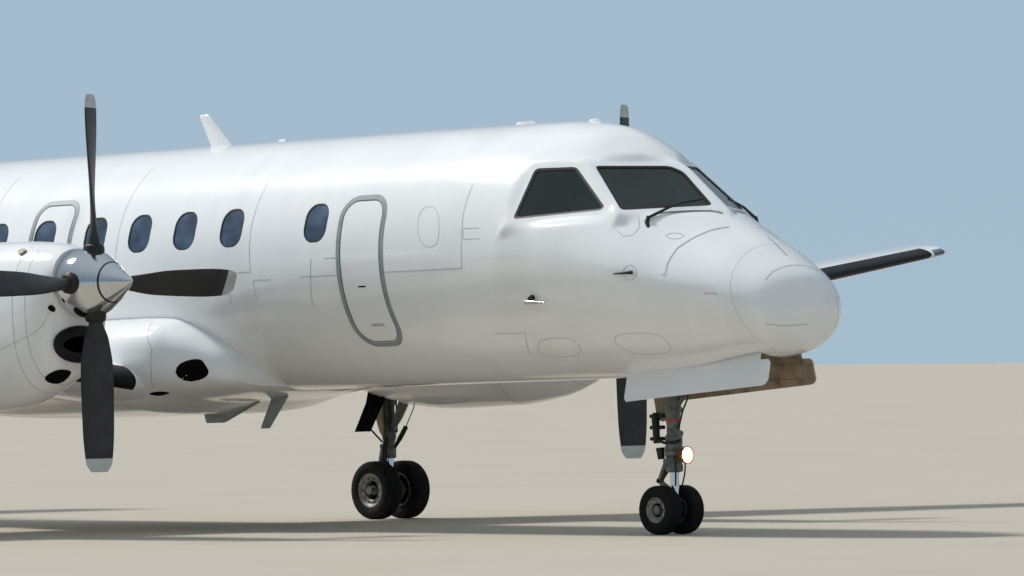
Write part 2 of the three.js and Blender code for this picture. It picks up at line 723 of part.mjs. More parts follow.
function fairing() {
  const rings = FAIRING.map(([x, half, top, bottom]) => (angle) => {
    const square = (value) => Math.sign(value) * Math.abs(value) ** 0.62;
    const waist = (top + bottom) / 2;
    return vec(x, -half * square(Math.sin(angle)), waist + ((top - bottom) / 2) * square(Math.cos(angle)));
  });
  let made = solid(loft(rings, 28)).subtract(fuselage(5500, 12500, SEAM, 40));
  const foil = wing(WING, WING_ROOT - SEAM, HALF_SPAN, 1);
  return made.subtract(foil).subtract(mirrored(foil));
}

// Assembly

const aircraft = new THREE.Group();

function add(name, made, [color, roughness, metalness], side = 1) {
  const material = new THREE.MeshStandardMaterial({ color, roughness, metalness });
  const mesh = new THREE.Mesh(geometryOf(made), material);
  mesh.name = name;
  mesh.scale.y = side;
  aircraft.add(mesh);
  return mesh;
}

const SIDES = [
  ["left", 1],
  ["right", -1],
];

function addBothSides(name, made, look) {
  for (const [word, side] of SIDES) add(name.replace("SIDE", word), made, look, side);
}

function addFuselage() {
  add("radome", besideJoint(fuselage(0, 800), 1), PAINT);
  add("flight_deck_section", noseSection(), PAINT);
  let cabin = fuselage(COCKPIT_END, CABIN_END - SEAM, 0, 40);
  const room = fuselage(CABIN_END - AFT_WALL, AFT_END - AFT_WALL, -AFT_WALL);
  let aft = fuselage(CABIN_END, AFT_END - SEAM).subtract(room);
  for (const [name, door] of Object.entries(DOORS)) {
    const pocket = doorRegion(door, JOINT, DOOR_DEPTH + SEAM);
    cabin = cabin.subtract(pocket);
    aft = aft.subtract(pocket);
    const skin = fuselage(door[0] - 1000, door[0] + 1000, 0, 40);
    add(name, skin.intersect(doorRegion(door, 0, DOOR_DEPTH)), PAINT);
  }
  add("cabin_section", cabin, PAINT);
  add("aft_fuselage", aft, PAINT);
  add("tail_cone", fuselage(AFT_END, LENGTH), PAINT);
  add("wing_root_fairing", fairing(), PAINT);
}

function addFlightDeck() {
  const { inward, outward, fit } = PANE;
  addBothSides("windscreen_SIDE", pane(WINDSCREEN, 1, inward, outward - fit, -fit), GLASS);
  addBothSides("side_window_SIDE", pane(SIDE_WINDOW, 1, inward, outward - fit, -fit), GLASS);
  addBothSides("pilot_seat_SIDE", seat(), TRIM);
  add("instrument_panel", instrumentPanel(), TRIM);
}

const AILERON = { share: 0.75, inner: 7000, outer: 10300, hinges: [7700, 9600] };
const FLAPS = {
  inboard: { inner: 1500, outer: 2760, hinges: [1850, 2450] },
  outboard: { inner: 3960, outer: 6970, hinges: [4500, 6400] },
};

function addWings() {
  const whole = wing(WING, WING_ROOT, HALF_SPAN);
  const { share, inner, outer, hinges } = AILERON;
  const aileron = control(WING, whole, share, inner, outer, hinges);
  let base = aileron.base;
  addBothSides("aileron_SIDE", aileron.surface, PAINT);
  for (const [place, span] of Object.entries(FLAPS)) {
    addBothSides(`flap_${place}_SIDE`, flap(WING, whole, span.inner, span.outer, span.hinges), PAINT);
    base = base.subtract(behind(WING, FLAP_SHARE, span.inner - CLEAR, span.outer + CLEAR, CLEAR));
    base = base.add(hangers(WING, span.hinges));
  }
  addBothSides("wing_SIDE", base, PAINT);
}

const ELEVATOR = { share: 0.66, inner: 620, outer: 4500, hinges: [1300, 3400] };
const RUDDER = { share: 0.64, inner: 1300, outer: 4600, hinges: [1900, 3900] };
const TAIL_SPAN = 4625;
const FIN_TOP = 4774;

function addTail() {
  const half = fuselage(12500, LENGTH, SEAM);
  const body = half.add(mirrored(half));
  const plane = wing(TAILPLANE, 150, TAIL_SPAN);
  const elevator = control(TAILPLANE, plane, ELEVATOR.share, ELEVATOR.inner, ELEVATOR.outer, ELEVATOR.hinges);
  addBothSides("tailplane_SIDE", elevator.base.subtract(body), PAINT);
  addBothSides("elevator_SIDE", elevator.surface, PAINT);
  const upright = (made) => turned(made, 90);
  const blade = wing(FIN, 700, FIN_TOP);
  const rudder = control(FIN, blade, RUDDER.share, RUDDER.inner, RUDDER.outer, RUDDER.hinges);
  const root = fillet([[-11000, 1120], [-13900, 2150], [-14800, 2150], [-14800, 1000]]);
  add("fin", upright(rudder.base).add(root).subtract(body), PAINT);
  add("rudder", upright(rudder.surface), PAINT);
}

const FILLET_HALF = 55;

// The fin's thin fillet along the top of the fuselage.
function fillet(outline) {
  const shape = new THREE.Shape(outline.map(([x, z]) => new THREE.Vector2(x, z)));
  const made = new THREE.ExtrudeGeometry(shape, { depth: FILLET_HALF * 2, bevelEnabled: false });
  return solid(made.rotateX(Math.PI / 2).translate(0, FILLET_HALF, 0));
}

function addPowerplants() {
  const { cowl, body } = nacelle();
  addBothSides("nose_cowl_SIDE", cowl, PAINT);
  addBothSides("nacelle_SIDE", body, PAINT);
  addBothSides("exhaust_SIDE", exhaust(), STEEL);
  const engine = lengthwise(ENGINE.back, ENGINE.front, MAIN_Y, THRUST_Z, ENGINE.radius - SEAM, 24);
  addBothSides("engine_SIDE", engine, STEEL);
  for (const [word, side] of SIDES) {
    for (const [name, made, look] of [
      ["spinner", spinnerWithHoles(), POLISHED],
      ["propeller_blades", blades(), BLADE],
    ]) {
      add(`${name}_${word}`, made, look).position.set(PROP_X, side * MAIN_Y, THRUST_Z);
    }
  }
}

function addGear() {
  addBothSides("main_leg_SIDE", mainLeg(), GEAR);
  const mainWheel = tyre(MAIN_TYRE);
  for (const [word, side] of SIDES) {
    for (const [place, away] of [
      ["inner", -1],
      ["outer", 1],
    ]) {
      const mesh = add(`main_wheel_${word}_${place}`, mainWheel, RUBBER);
      mesh.position.set(MAIN_X, side * (MAIN_Y + (away * MAIN_TYRE.track) / 2), MAIN_AXLE);
      add(`main_gear_door_${word}_${place}`, mainDoor(away), PAINT, side);
    }
  }
  add("nose_leg", noseLeg(), GEAR);
  add("nose_leg_steered", noseSteering(), GEAR);
  const noseWheel = tyre(NOSE_TYRE);
  for (const [word, side] of SIDES) {
    add(`nose_wheel_${word}`, noseWheel, RUBBER).position.set(0, (side * NOSE_TYRE.track) / 2, NOSE_AXLE);
  }
  addBothSides("nose_gear_door_SIDE", noseDoor(), PAINT);
}

addFuselage();
addFlightDeck();
addWings();
addTail();
addPowerplants();
addGear();

aircraft.rotation.y = -ATTITUDE;
aircraft.position.set(CENTRE, 0, AXIS_HEIGHT * Math.cos(ATTITUDE));

const model = new THREE.Group();
model.add(aircraft);
export default model;
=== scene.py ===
"""Turboprop airliner: finished skins, glass, propellers and landing gear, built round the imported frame."""

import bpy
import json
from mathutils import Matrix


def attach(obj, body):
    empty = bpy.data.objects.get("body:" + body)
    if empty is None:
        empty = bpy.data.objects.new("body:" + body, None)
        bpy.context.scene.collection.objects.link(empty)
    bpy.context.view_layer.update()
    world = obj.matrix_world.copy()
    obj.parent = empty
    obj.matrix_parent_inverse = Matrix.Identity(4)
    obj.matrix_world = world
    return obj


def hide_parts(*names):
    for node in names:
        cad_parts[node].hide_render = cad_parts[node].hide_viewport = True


bl_info = {
    "name": "Turboprop airliner",
    "version": (1, 0, 0),
    "blender": (4, 5, 0),
    "location": "3D View > Sidebar > Airliner",
    "description": "Builds the visible surfaces of a twin-turboprop airliner in metres",
    "category": "Object",
}

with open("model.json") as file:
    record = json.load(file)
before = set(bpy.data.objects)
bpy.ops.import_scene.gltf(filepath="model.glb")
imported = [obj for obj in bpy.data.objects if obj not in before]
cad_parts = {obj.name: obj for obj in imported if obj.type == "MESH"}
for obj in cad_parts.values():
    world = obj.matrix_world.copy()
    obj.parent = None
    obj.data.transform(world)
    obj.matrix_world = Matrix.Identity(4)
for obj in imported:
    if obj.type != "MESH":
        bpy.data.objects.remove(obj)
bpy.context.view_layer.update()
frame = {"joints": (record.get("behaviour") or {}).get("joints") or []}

import json
import math

import bmesh
import bpy
import numpy as np
from mathutils import Matrix, Vector

JOINTS = {joint["name"]: joint for joint in frame["joints"]}
PROPELLER_AXIS = JOINTS["propeller_left_spin"]["axis"]
PROPELLER_HUB = JOINTS["propeller_left_spin"]["pos_m"]

# The airframe frame: x forward from the nose leg, y to port, z up from the fuselage axis, in metres.
NOSE_TIP = 1.8
LENGTH = 19.73
RADIUS = 1.155
PROP_X = -3.785
THRUST_Z = -0.19
NACELLE_Y = PROPELLER_HUB[1]
PITCH = math.atan2(PROPELLER_AXIS[2], PROPELLER_AXIS[0])
COS, SIN = math.cos(PITCH), math.sin(PITCH)
SHIFT_X = PROPELLER_HUB[0] - PROP_X * COS + THRUST_Z * SIN
SHIFT_Z = PROPELLER_HUB[2] - PROP_X * SIN - THRUST_Z * COS


def to_row(points):
    """Airframe points turned nose up by the ground attitude and moved into the row's frame."""
    points = np.asarray(points, float)
    x, y, z = points[..., 0], points[..., 1], points[..., 2]
    return np.stack([x * COS - z * SIN + SHIFT_X, y, x * SIN + z * COS + SHIFT_Z], -1)


def to_airframe(points):
    """The inverse of to_row."""
    points = np.asarray(points, float)
    x, y, z = points[..., 0] - SHIFT_X, points[..., 1], points[..., 2] - SHIFT_Z
    return np.stack([x * COS + z * SIN, y, z * COS - x * SIN], -1)


# Meshes


def unit(vectors):
    """Vectors of length 1."""
    return vectors / np.linalg.norm(vectors, axis=-1, keepdims=True)


def circle(count):
    """Even angles round a circle."""
    return np.linspace(0, 2 * math.pi, count, endpoint=False)


def build(points, faces, sharp=32, row=False, name="part"):
    """An object from airframe points and faces, facing out, smooth but for edges over the sharp angle."""
    mesh = bpy.data.meshes.new(name)
    place = np.asarray(points, float) if row else to_row(points)
    mesh.from_pydata(place.reshape(-1, 3).tolist(), [], [list(face) for face in faces])
    mesh.validate()
    piece = bpy.data.objects.new(name, mesh)
    bpy.context.scene.collection.objects.link(piece)
    work = bmesh.new()
    work.from_mesh(mesh)
    bmesh.ops.remove_doubles(work, verts=work.verts, dist=1e-6)
    bmesh.ops.recalc_face_normals(work, faces=work.faces)
    work.to_mesh(mesh)
    work.free()
    smooth(piece, sharp)
    return piece


def smooth(piece, sharp):
    """Smooth shading, with edges over the given angle in degrees kept sharp."""
    piece.data.shade_smooth()
    piece.data.set_sharp_from_angle(angle=math.radians(sharp))


def grid_faces(rows, columns):
    """Quads of a grid of points whose last column joins the first."""
    i, j = np.meshgrid(np.arange(rows - 1), np.arange(columns), indexing="ij")
    k = (j + 1) % columns
    near, far = i * columns, (i + 1) * columns
    return np.stack([near + j, near + k, far + k, far + j], -1).reshape(-1, 4)


def tube(rings, sharp=32, name="part"):
    """A closed body through rings of points (rows, columns, 3), its two ends closed by fans."""
    rings = np.asarray(rings, float)
    rows, columns = rings.shape[:2]
    faces = grid_faces(rows, columns).tolist()
    points = np.concatenate([rings.reshape(-1, 3), rings[[0, -1]].mean(1)])
    step = np.arange(columns)
    for base, centre in ((0, rows * columns), ((rows - 1) * columns, rows * columns + 1)):
        faces += np.stack([base + step, base + (step + 1) % columns, np.full(columns, centre)], -1).tolist()
    return build(points, faces, sharp, name=name)


def ringed(rings, sharp, name="part"):
    """A ring-shaped body through rings of points, the last of them joined to the first."""
    rows, columns = rings.shape[:2]
    faces = grid_faces(rows + 1, columns) % (rows * columns)
    return build(rings.reshape(-1, 3), faces.tolist(), sharp, name=name)


def vertices(piece):
    """A piece's points in the row's frame."""
    place = np.empty(len(piece.data.vertices) * 3)
    piece.data.vertices.foreach_get("co", place)
    return place.reshape(-1, 3)


def joined(name, pieces):
    """One object from several, which are removed."""
    points, faces, start = [], [], 0
    for piece in pieces:
        points.append(vertices(piece))
        faces += [[v + start for v in face.vertices] for face in piece.data.polygons]
        start += len(points[-1])
        remove(piece)
    return build(np.concatenate(points), faces, row=True, name=name)


def remove(piece):
    """Takes an object and its mesh out of the file."""
    mesh = piece.data
    bpy.data.objects.remove(piece)
    bpy.data.meshes.remove(mesh)


def carve(piece, tool, operation="DIFFERENCE", keep=False, sharp=32):
    """A boolean of piece with tool, applied to the mesh."""
    change = piece.modifiers.new("carve", "BOOLEAN")
    change.operation, change.solver, change.object = operation, "EXACT", tool
    graph = bpy.context.evaluated_depsgraph_get()
    graph.update()
    result = bpy.data.meshes.new_from_object(piece.evaluated_get(graph))
    piece.modifiers.clear()
    old, piece.data = piece.data, result
    bpy.data.meshes.remove(old)
    if not len(result.polygons):
        raise RuntimeError(piece.name + " came out empty")
    if not keep:
        remove(tool)
    smooth(piece, sharp)
    return piece


def box(low, high):
    """A block between two corners."""
    (x0, y0, z0), (x1, y1, z1) = low, high
    return tube([[(x, y0, z0), (x, y1, z0), (x, y1, z1), (x, y0, z1)] for x in (x0, x1)])


def prism(outline, depth0, depth1, axis=1, name="part"):
    """A solid from a closed outline in two coordinates, carried along the third axis."""
    outline = np.asarray(outline, float)
    return tube([np.insert(outline, axis, depth, axis=1) for depth in (depth0, depth1)], name=name)


def rounded(width, height, radius, corner=8):
    """Points round a rectangle with round corners, about the origin."""
    points = []
    for quarter, (sx, sy) in enumerate(((1, 1), (-1, 1), (-1, -1), (1, -1))):
        angle = np.linspace(0, math.pi / 2, corner) + quarter * math.pi / 2
        x, y = sx * (width / 2 - radius), sy * (height / 2 - radius)
        points.append(np.stack([x + radius * np.cos(angle), y + radius * np.sin(angle)], -1))
    return np.concatenate(points)


def guide_for(direction):
    """A unit vector well away from a direction: up, or forward where that is nearly upright."""
    return np.array([0, 0, 1.0]) if abs(direction[2]) < 0.9 else np.array([1.0, 0, 0])


def rod(path, radius, sides=12, name="part"):
    """A round bar along a path, its rings turned as little as possible; the radius may change along it."""
    path = np.asarray(path, float)
    tangent = unit(np.gradient(path, axis=0))
    guide = guide_for(tangent[0])
    first = np.empty_like(path)
    for i, along in enumerate(tangent):
        guide = unit(guide - along * (guide @ along))
        first[i] = guide
    radius = np.broadcast_to(np.asarray(radius, float), len(path))
    turn = circle(sides)
    ring = np.cos(turn)[:, None] * first[:, None] + np.sin(turn)[:, None] * np.cross(tangent, first)[:, None]
    return tube(path[:, None] + radius[:, None, None] * ring, name=name)


def turned(profile, centre, axis=(0, 1, 0), sides=48, sharp=32, ring=False, name="part"):
    """A profile of (radius, distance along the axis) spun about an axis: closed at its ends, or on itself."""
    axis, profile = unit(np.asarray(axis, float)), np.asarray(profile, float)
    first = unit(np.cross(guide_for(axis), axis))
    turn = circle(sides)[:, None]
    spin = np.cos(turn) * first + np.sin(turn) * np.cross(axis, first)
    points = np.asarray(centre) + profile[:, 0, None, None] * spin + profile[:, 1, None, None] * axis
    return ringed(points.swapaxes(0, 1), sharp, name) if ring else tube(points, sharp, name)


def dress(piece, finish, replaces=(), body="airframe"):
    """Gives a finished piece its materials and its body, and hides the frame nodes that it stands for."""
    painted = np.empty(len(piece.data.polygons), np.int32)
    piece.data.polygons.foreach_get("material_index", painted)
    piece.data.materials.clear()
    for one in [finish] if isinstance(finish, str) else finish:
        piece.data.materials.append(finish_of(one))
    piece.data.polygons.foreach_set("material_index", painted)
    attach(piece, body)
    if replaces:
        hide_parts(*replaces)


# Fuselage surface

# station from the nose tip, top, widest height, bottom, half width, power of the upper curve
SECTIONS = np.array([
    (0, -0.595, -0.595, -0.595, 0, 2),
    (0.02, -0.46, -0.604, -0.713, 0.177, 2),
    (0.08, -0.342, -0.62, -0.85, 0.385, 2),
    (0.18, -0.25, -0.6, -0.97, 0.53, 2),
    (0.36, -0.13, -0.53, -1.02, 0.635, 1.93),
    (0.55, -0.005, -0.455, -1.035, 0.71, 1.83),
    (0.8, 0.13, -0.395, -1.065, 0.81, 1.73),
    (1.1, 0.32, -0.33, -1.105, 0.91, 1.65),
    (1.5, 0.615, -0.215, -1.135, 1.02, 1.6),
    (1.9, 0.91, -0.13, -1.15, 1.08, 1.68),
    (2.3, 1.085, -0.06, -1.155, 1.125, 1.8),
    (2.9, 1.15, -0.02, -1.155, 1.15, 1.92),
    (3.5, RADIUS, 0, -RADIUS, RADIUS, 2),
    (12.0, RADIUS, 0, -RADIUS, RADIUS, 2),
    (12.8, RADIUS, 0, -1.15, RADIUS, 2),
    (14.0, 1.15, 0.04, -1.0, 1.1, 2),
    (15.2, 1.125, 0.13, -0.72, 0.965, 2),
    (16.4, 1.075, 0.26, -0.39, 0.77, 2),
    (17.6, 0.99, 0.4, -0.05, 0.54, 2),
    (18.8, 0.83, 0.5, 0.29, 0.29, 2),
    (LENGTH, 0.65, 0.58, 0.53, 0.06, 2),
])
RADOME_JOINT = {"x": 1.292, "lean": 0.263}  # where the radome's joint crosses the axis, and its slope
COCKPIT_END = 3.5
CABIN_END = 12.0
AFT_END = 16.4


def monotone(x, y, at):
    """Smooth values through a table that never overshoot it: cubic pieces with limited slopes."""
    width = np.diff(x)
    rise = np.diff(y) / width
    slope = np.zeros_like(y)
    same = rise[:-1] * rise[1:] > 0
    w1, w2 = 2 * width[1:] + width[:-1], width[1:] + 2 * width[:-1]
    inner = np.zeros(len(y) - 2)
    inner[same] = ((w1 + w2)[same]) / (w1[same] / rise[:-1][same] + w2[same] / rise[1:][same])
    slope[1:-1] = inner
    slope[0], slope[-1] = rise[0], rise[-1]
    i = np.clip(np.searchsorted(x, at) - 1, 0, len(x) - 2)
    t = (at - x[i]) / width[i]
    return ((1 + 2 * t) * (1 - t) ** 2 * y[i] + t * (1 - t) ** 2 * width[i] * slope[i] + t * t * (3 - 2 * t)
        * y[i + 1] + t * t * (t - 1) * width[i] * slope[i + 1])


def smoothed_sections():
    """The section table against the root of the station, so that the nose comes out round, then averaged."""
    root = np.sqrt(SECTIONS[:, 0])
    fine = np.linspace(0, root[-1], 1800)
    reach = 9
    kernel = np.exp(-0.5 * (np.arange(-3 * reach, 3 * reach + 1) / reach) ** 2)
    kernel /= kernel.sum()
    curves = []
    for column in range(1, 6):
        raw = monotone(root, SECTIONS[:, column], fine)
        ahead = 2 * raw[0] - raw[1:3 * reach + 1][::-1]
        behind = 2 * raw[-1] - raw[-3 * reach - 1:-1][::-1]
        curves.append(np.convolve(np.concatenate([ahead, raw, behind]), kernel, "valid"))
    return fine, curves


ROOTS, CURVES = smoothed_sections()


def power(value, exponent):
    """A signed power, which squares off or sharpens a circle's sine and cosine."""
    return np.sign(value) * np.abs(value) ** exponent


def section(x):
    """Top, widest height, bottom, half width and upper power of the fuselage at x."""
    root = np.sqrt(np.clip(NOSE_TIP - np.asarray(x, float), 0, LENGTH))
    return [np.interp(root, ROOTS, curve) for curve in CURVES]


class Skin:
    """A skin whose sections are two half superellipses, one over the widest height and one under it.

    In each half |y / half width|^p + |z / rise|^p = 1. The shape gives the top, the widest height, the
    bottom, the half width and both powers at x; the middle of the sections lies at y.
    """

    def __init__(self, shape, y=0.0):
        self.shape, self.y = shape, y

    def point(self, x, angle, grow=0.0):
        """The point at x and at an angle that runs from the top round the starboard side."""
        x, angle = np.broadcast_arrays(np.asarray(x, float), np.asarray(angle, float))
        top, waist, bottom, half, over, under = self.shape(x)
        upper = np.cos(angle) > 0
        rise = np.where(upper, top - waist, waist - bottom) + grow
        bend = 2 / np.where(upper, over, under)
        y = self.y - (half + grow) * power(np.sin(angle), bend)
        return np.stack([x, y, waist + rise * power(np.cos(angle), bend)], -1)

    def value(self, points):
        """Below 1 inside the section, above 1 outside."""
        top, waist, bottom, half, over, under = self.shape(points[..., 0])
        upper = points[..., 2] > waist
        rise = np.where(upper, top - waist, waist - bottom)
        bend = np.where(upper, over, under)
        return np.abs((points[..., 1] - self.y) / half) ** bend + np.abs(
            (points[..., 2] - waist) / rise) ** bend

    def slope(self, points):
        """The gradient of value, from its differences 2 mm to both sides."""
        step = 2e-3
        change = [self.value(points + away) - self.value(points - away) for away in np.eye(3) * step]
        return np.stack(change, -1) / (2 * step)

    def normal(self, points):
        """The outward unit normal."""
        return unit(self.slope(np.asarray(points, float)))

    def onto(self, points):
        """Points moved onto the skin, by Newton's steps down its slope."""
        points = np.array(points, float)
        for _ in range(8):
            slope = self.slope(points)
            points -= ((self.value(points) - 1) / (slope ** 2).sum(-1))[..., None] * slope
        return points


HULL = Skin(lambda x: (*section(x), 2.0))


def hull_side(x, z, side, lift=0.0):
    """The fuselage point seen square from the side at (x, z), lifted off the skin along its normal."""
    x, z = np.broadcast_arrays(np.asarray(x, float), np.asarray(z, float))
    top, waist, bottom, half, bend = section(x)
    rise = np.where(z > waist, top - waist, waist - bottom)
    bend = np.where(z > waist, bend, 2.0)
    y = side * half * np.clip(1 - np.abs((z - waist) / rise) ** bend, 1e-6, 1) ** (1 / bend)
    points = np.stack([x, y, z], -1)
    return points + lift * HULL.normal(points)


def true_normals(piece):
    """Sets the shading normals of the faces that lie on the fuselage skin to that skin's own normals."""
    mesh = piece.data

    def read(rows, kind, wide, number=float):
        values = np.empty(len(rows) * wide, number)
        rows.foreach_get(kind, values)
        return values.reshape(-1, wide)

    corner = read(mesh.loops, "vertex_index", 1, np.int32)[:, 0]
    current = read(mesh.corner_normals, "vector", 3)
    sizes = read(mesh.polygons, "loop_total", 1, np.int32)[:, 0]
    flat = np.repeat(read(mesh.polygons, "normal", 3), sizes, axis=0)
    ideal = (to_row(HULL.normal(to_airframe(vertices(piece)))) - to_row((0, 0, 0)))[corner]
    fits = (flat * ideal).sum(1) > 0.93
    current[fits] = ideal[fits]
    mesh.normals_split_custom_set(current.tolist())


# Flight-deck windows: corners on the starboard side, going round

WINDSCREEN = np.array([
    (-0.202, -0.643, 0.708), (0.189, -0.099, 0.694), (0.303, -0.042, 0.637),
    (0.691, -0.083, 0.325), (0.249, -0.782, 0.297)])
SIDE_WINDOW = np.array([
    (-0.787, -1.094, 0.259), (-0.754, -0.83, 0.708), (-0.347, -0.722, 0.704),
    (0.077, -0.814, 0.339), (0.062, -0.837, 0.305)])


class Pane:
    """A flat window: its middle, its outward normal, two directions in its plane and its outline there."""

    def __init__(self, corners, side):
        corners = corners * (1, -side, 1)
        self.middle = corners.mean(0)
        normal = np.linalg.svd(corners - self.middle)[2][2]
        self.normal = normal * np.sign(normal[1] * side)
        self.across = unit(np.cross((0, 0, 1.0), self.normal))
        self.up = np.cross(self.normal, self.across)
        self.corners = self.flat(corners)
        if np.cross(self.corners, np.roll(self.corners, -1, 0)).sum() < 0:
            self.corners = self.corners[::-1]
        self.edge = unit(np.roll(self.corners, -1, 0) - self.corners)
        self.out = np.stack([self.edge[:, 1], -self.edge[:, 0]], -1)

    def flat(self, points):
        """Points seen square on, in the two directions of the plane."""
        offset = points - self.middle
        return np.stack([offset @ self.across, offset @ self.up], -1)

    def outline(self, grow=0.0, radius=0.05, steps=7):
        """The outline with round corners, grown outward; each corner is a curve between its two edges."""
        points = []
        for i, place in enumerate(self.corners):
            bisector = self.out[i - 1] + self.out[i]
            corner = place + grow * bisector / (bisector @ self.out[i])
            ahead = self.corners[(i + 1) % len(self.corners)]
            cut = min(radius, *(0.45 * np.linalg.norm(place - other)
                for other in (self.corners[i - 1], ahead)))
            start, end = corner - self.edge[i - 1] * cut, corner + self.edge[i] * cut
            t = np.linspace(0, 1, steps)[:, None]
            points.append((1 - t) ** 2 * start + 2 * t * (1 - t) * corner + t ** 2 * end)
        return np.concatenate(points)

    def at(self, outline, depth):
        """Points of an outline in the plane, at a depth along the outward normal."""
        return self.middle + outline[:, :1] * self.across + outline[:, 1:] * self.up + depth * self.normal

    def outside(self, points):
        """How far points lie outside the outline, seen square on."""
        away = self.flat(points)[..., None, :] - self.corners
        return (away * self.out).sum(-1).max(-1)

    def slab(self, depth0, depth1, grow=0.0, name="part"):
        """A solid plate with the window's outline."""
        outline = self.outline(grow)
        return tube([self.at(outline, depth0), self.at(outline, depth1)], name=name)


PANES = {
    f"{name}_{word}": Pane(corners, side)
    for word, side in (("left", 1), ("right", -1))
    for name, corners in (("windscreen", WINDSCREEN), ("side_window", SIDE_WINDOW))
}


def pressed(points, depth=0.0):
    """Lays the skin flat round each window: points near its plane move onto it, less and less farther off."""
    for pane in PANES.values():
        proud = (points - pane.middle) @ pane.normal + depth
        far = np.clip((pane.outside(points) - 0.035) / 0.12, 0, 1)
        near = np.clip((proud + 0.1) / 0.05, 0, 1)
        push = proud * near * (1 - far * far * (3 - 2 * far))
        points = points - push[..., None] * pane.normal
    return points


# Materials


def linear(colour):
    """A sRGB hex colour as linear red, green, blue and alpha."""
    channels = [int(colour[i:i + 2], 16) / 255 for i in (1, 3, 5)]
    return (*[c / 12.92 if c < 0.04045 else ((c + 0.055) / 1.055) ** 2.4 for c in channels], 1.0)


def add(tree, kind, links=(), values=(), **settings):
    """One node: links are (input, output socket of another node), values are (input, value)."""
    made = tree.nodes.new(kind)
    for key, value in settings.items():
        setattr(made, key, value)
    for key, value in values:
        made.inputs[key].default_value = value
    for key, socket in links:
        tree.links.new(socket, made.inputs[key])
    return made


def ramp(tree, source, stops):
    """A colour ramp over a value: stops are (position, sRGB hex)."""
    made = add(tree, "ShaderNodeValToRGB", [("Fac", source)])
    elements = made.color_ramp.elements
    while len(elements) < len(stops):
        elements.new(0.5)
    for element, (position, colour) in zip(elements, stops):
        element.position = position
        element.color = linear(colour)
    return made.outputs["Color"]


def object_noise(tree, scale, detail, stretch):
    """Noise on object coordinates; scale is in cycles to a metre."""
    place = add(tree, "ShaderNodeTexCoord").outputs["Object"]
    mapped = add(tree, "ShaderNodeMapping", [("Vector", place)], [("Scale", stretch)])
    return add(tree, "ShaderNodeTexNoise", [("Vector", mapped.outputs["Vector"])],
        [("Scale", scale), ("Detail", detail), ("Roughness", 0.5)]).outputs["Fac"]


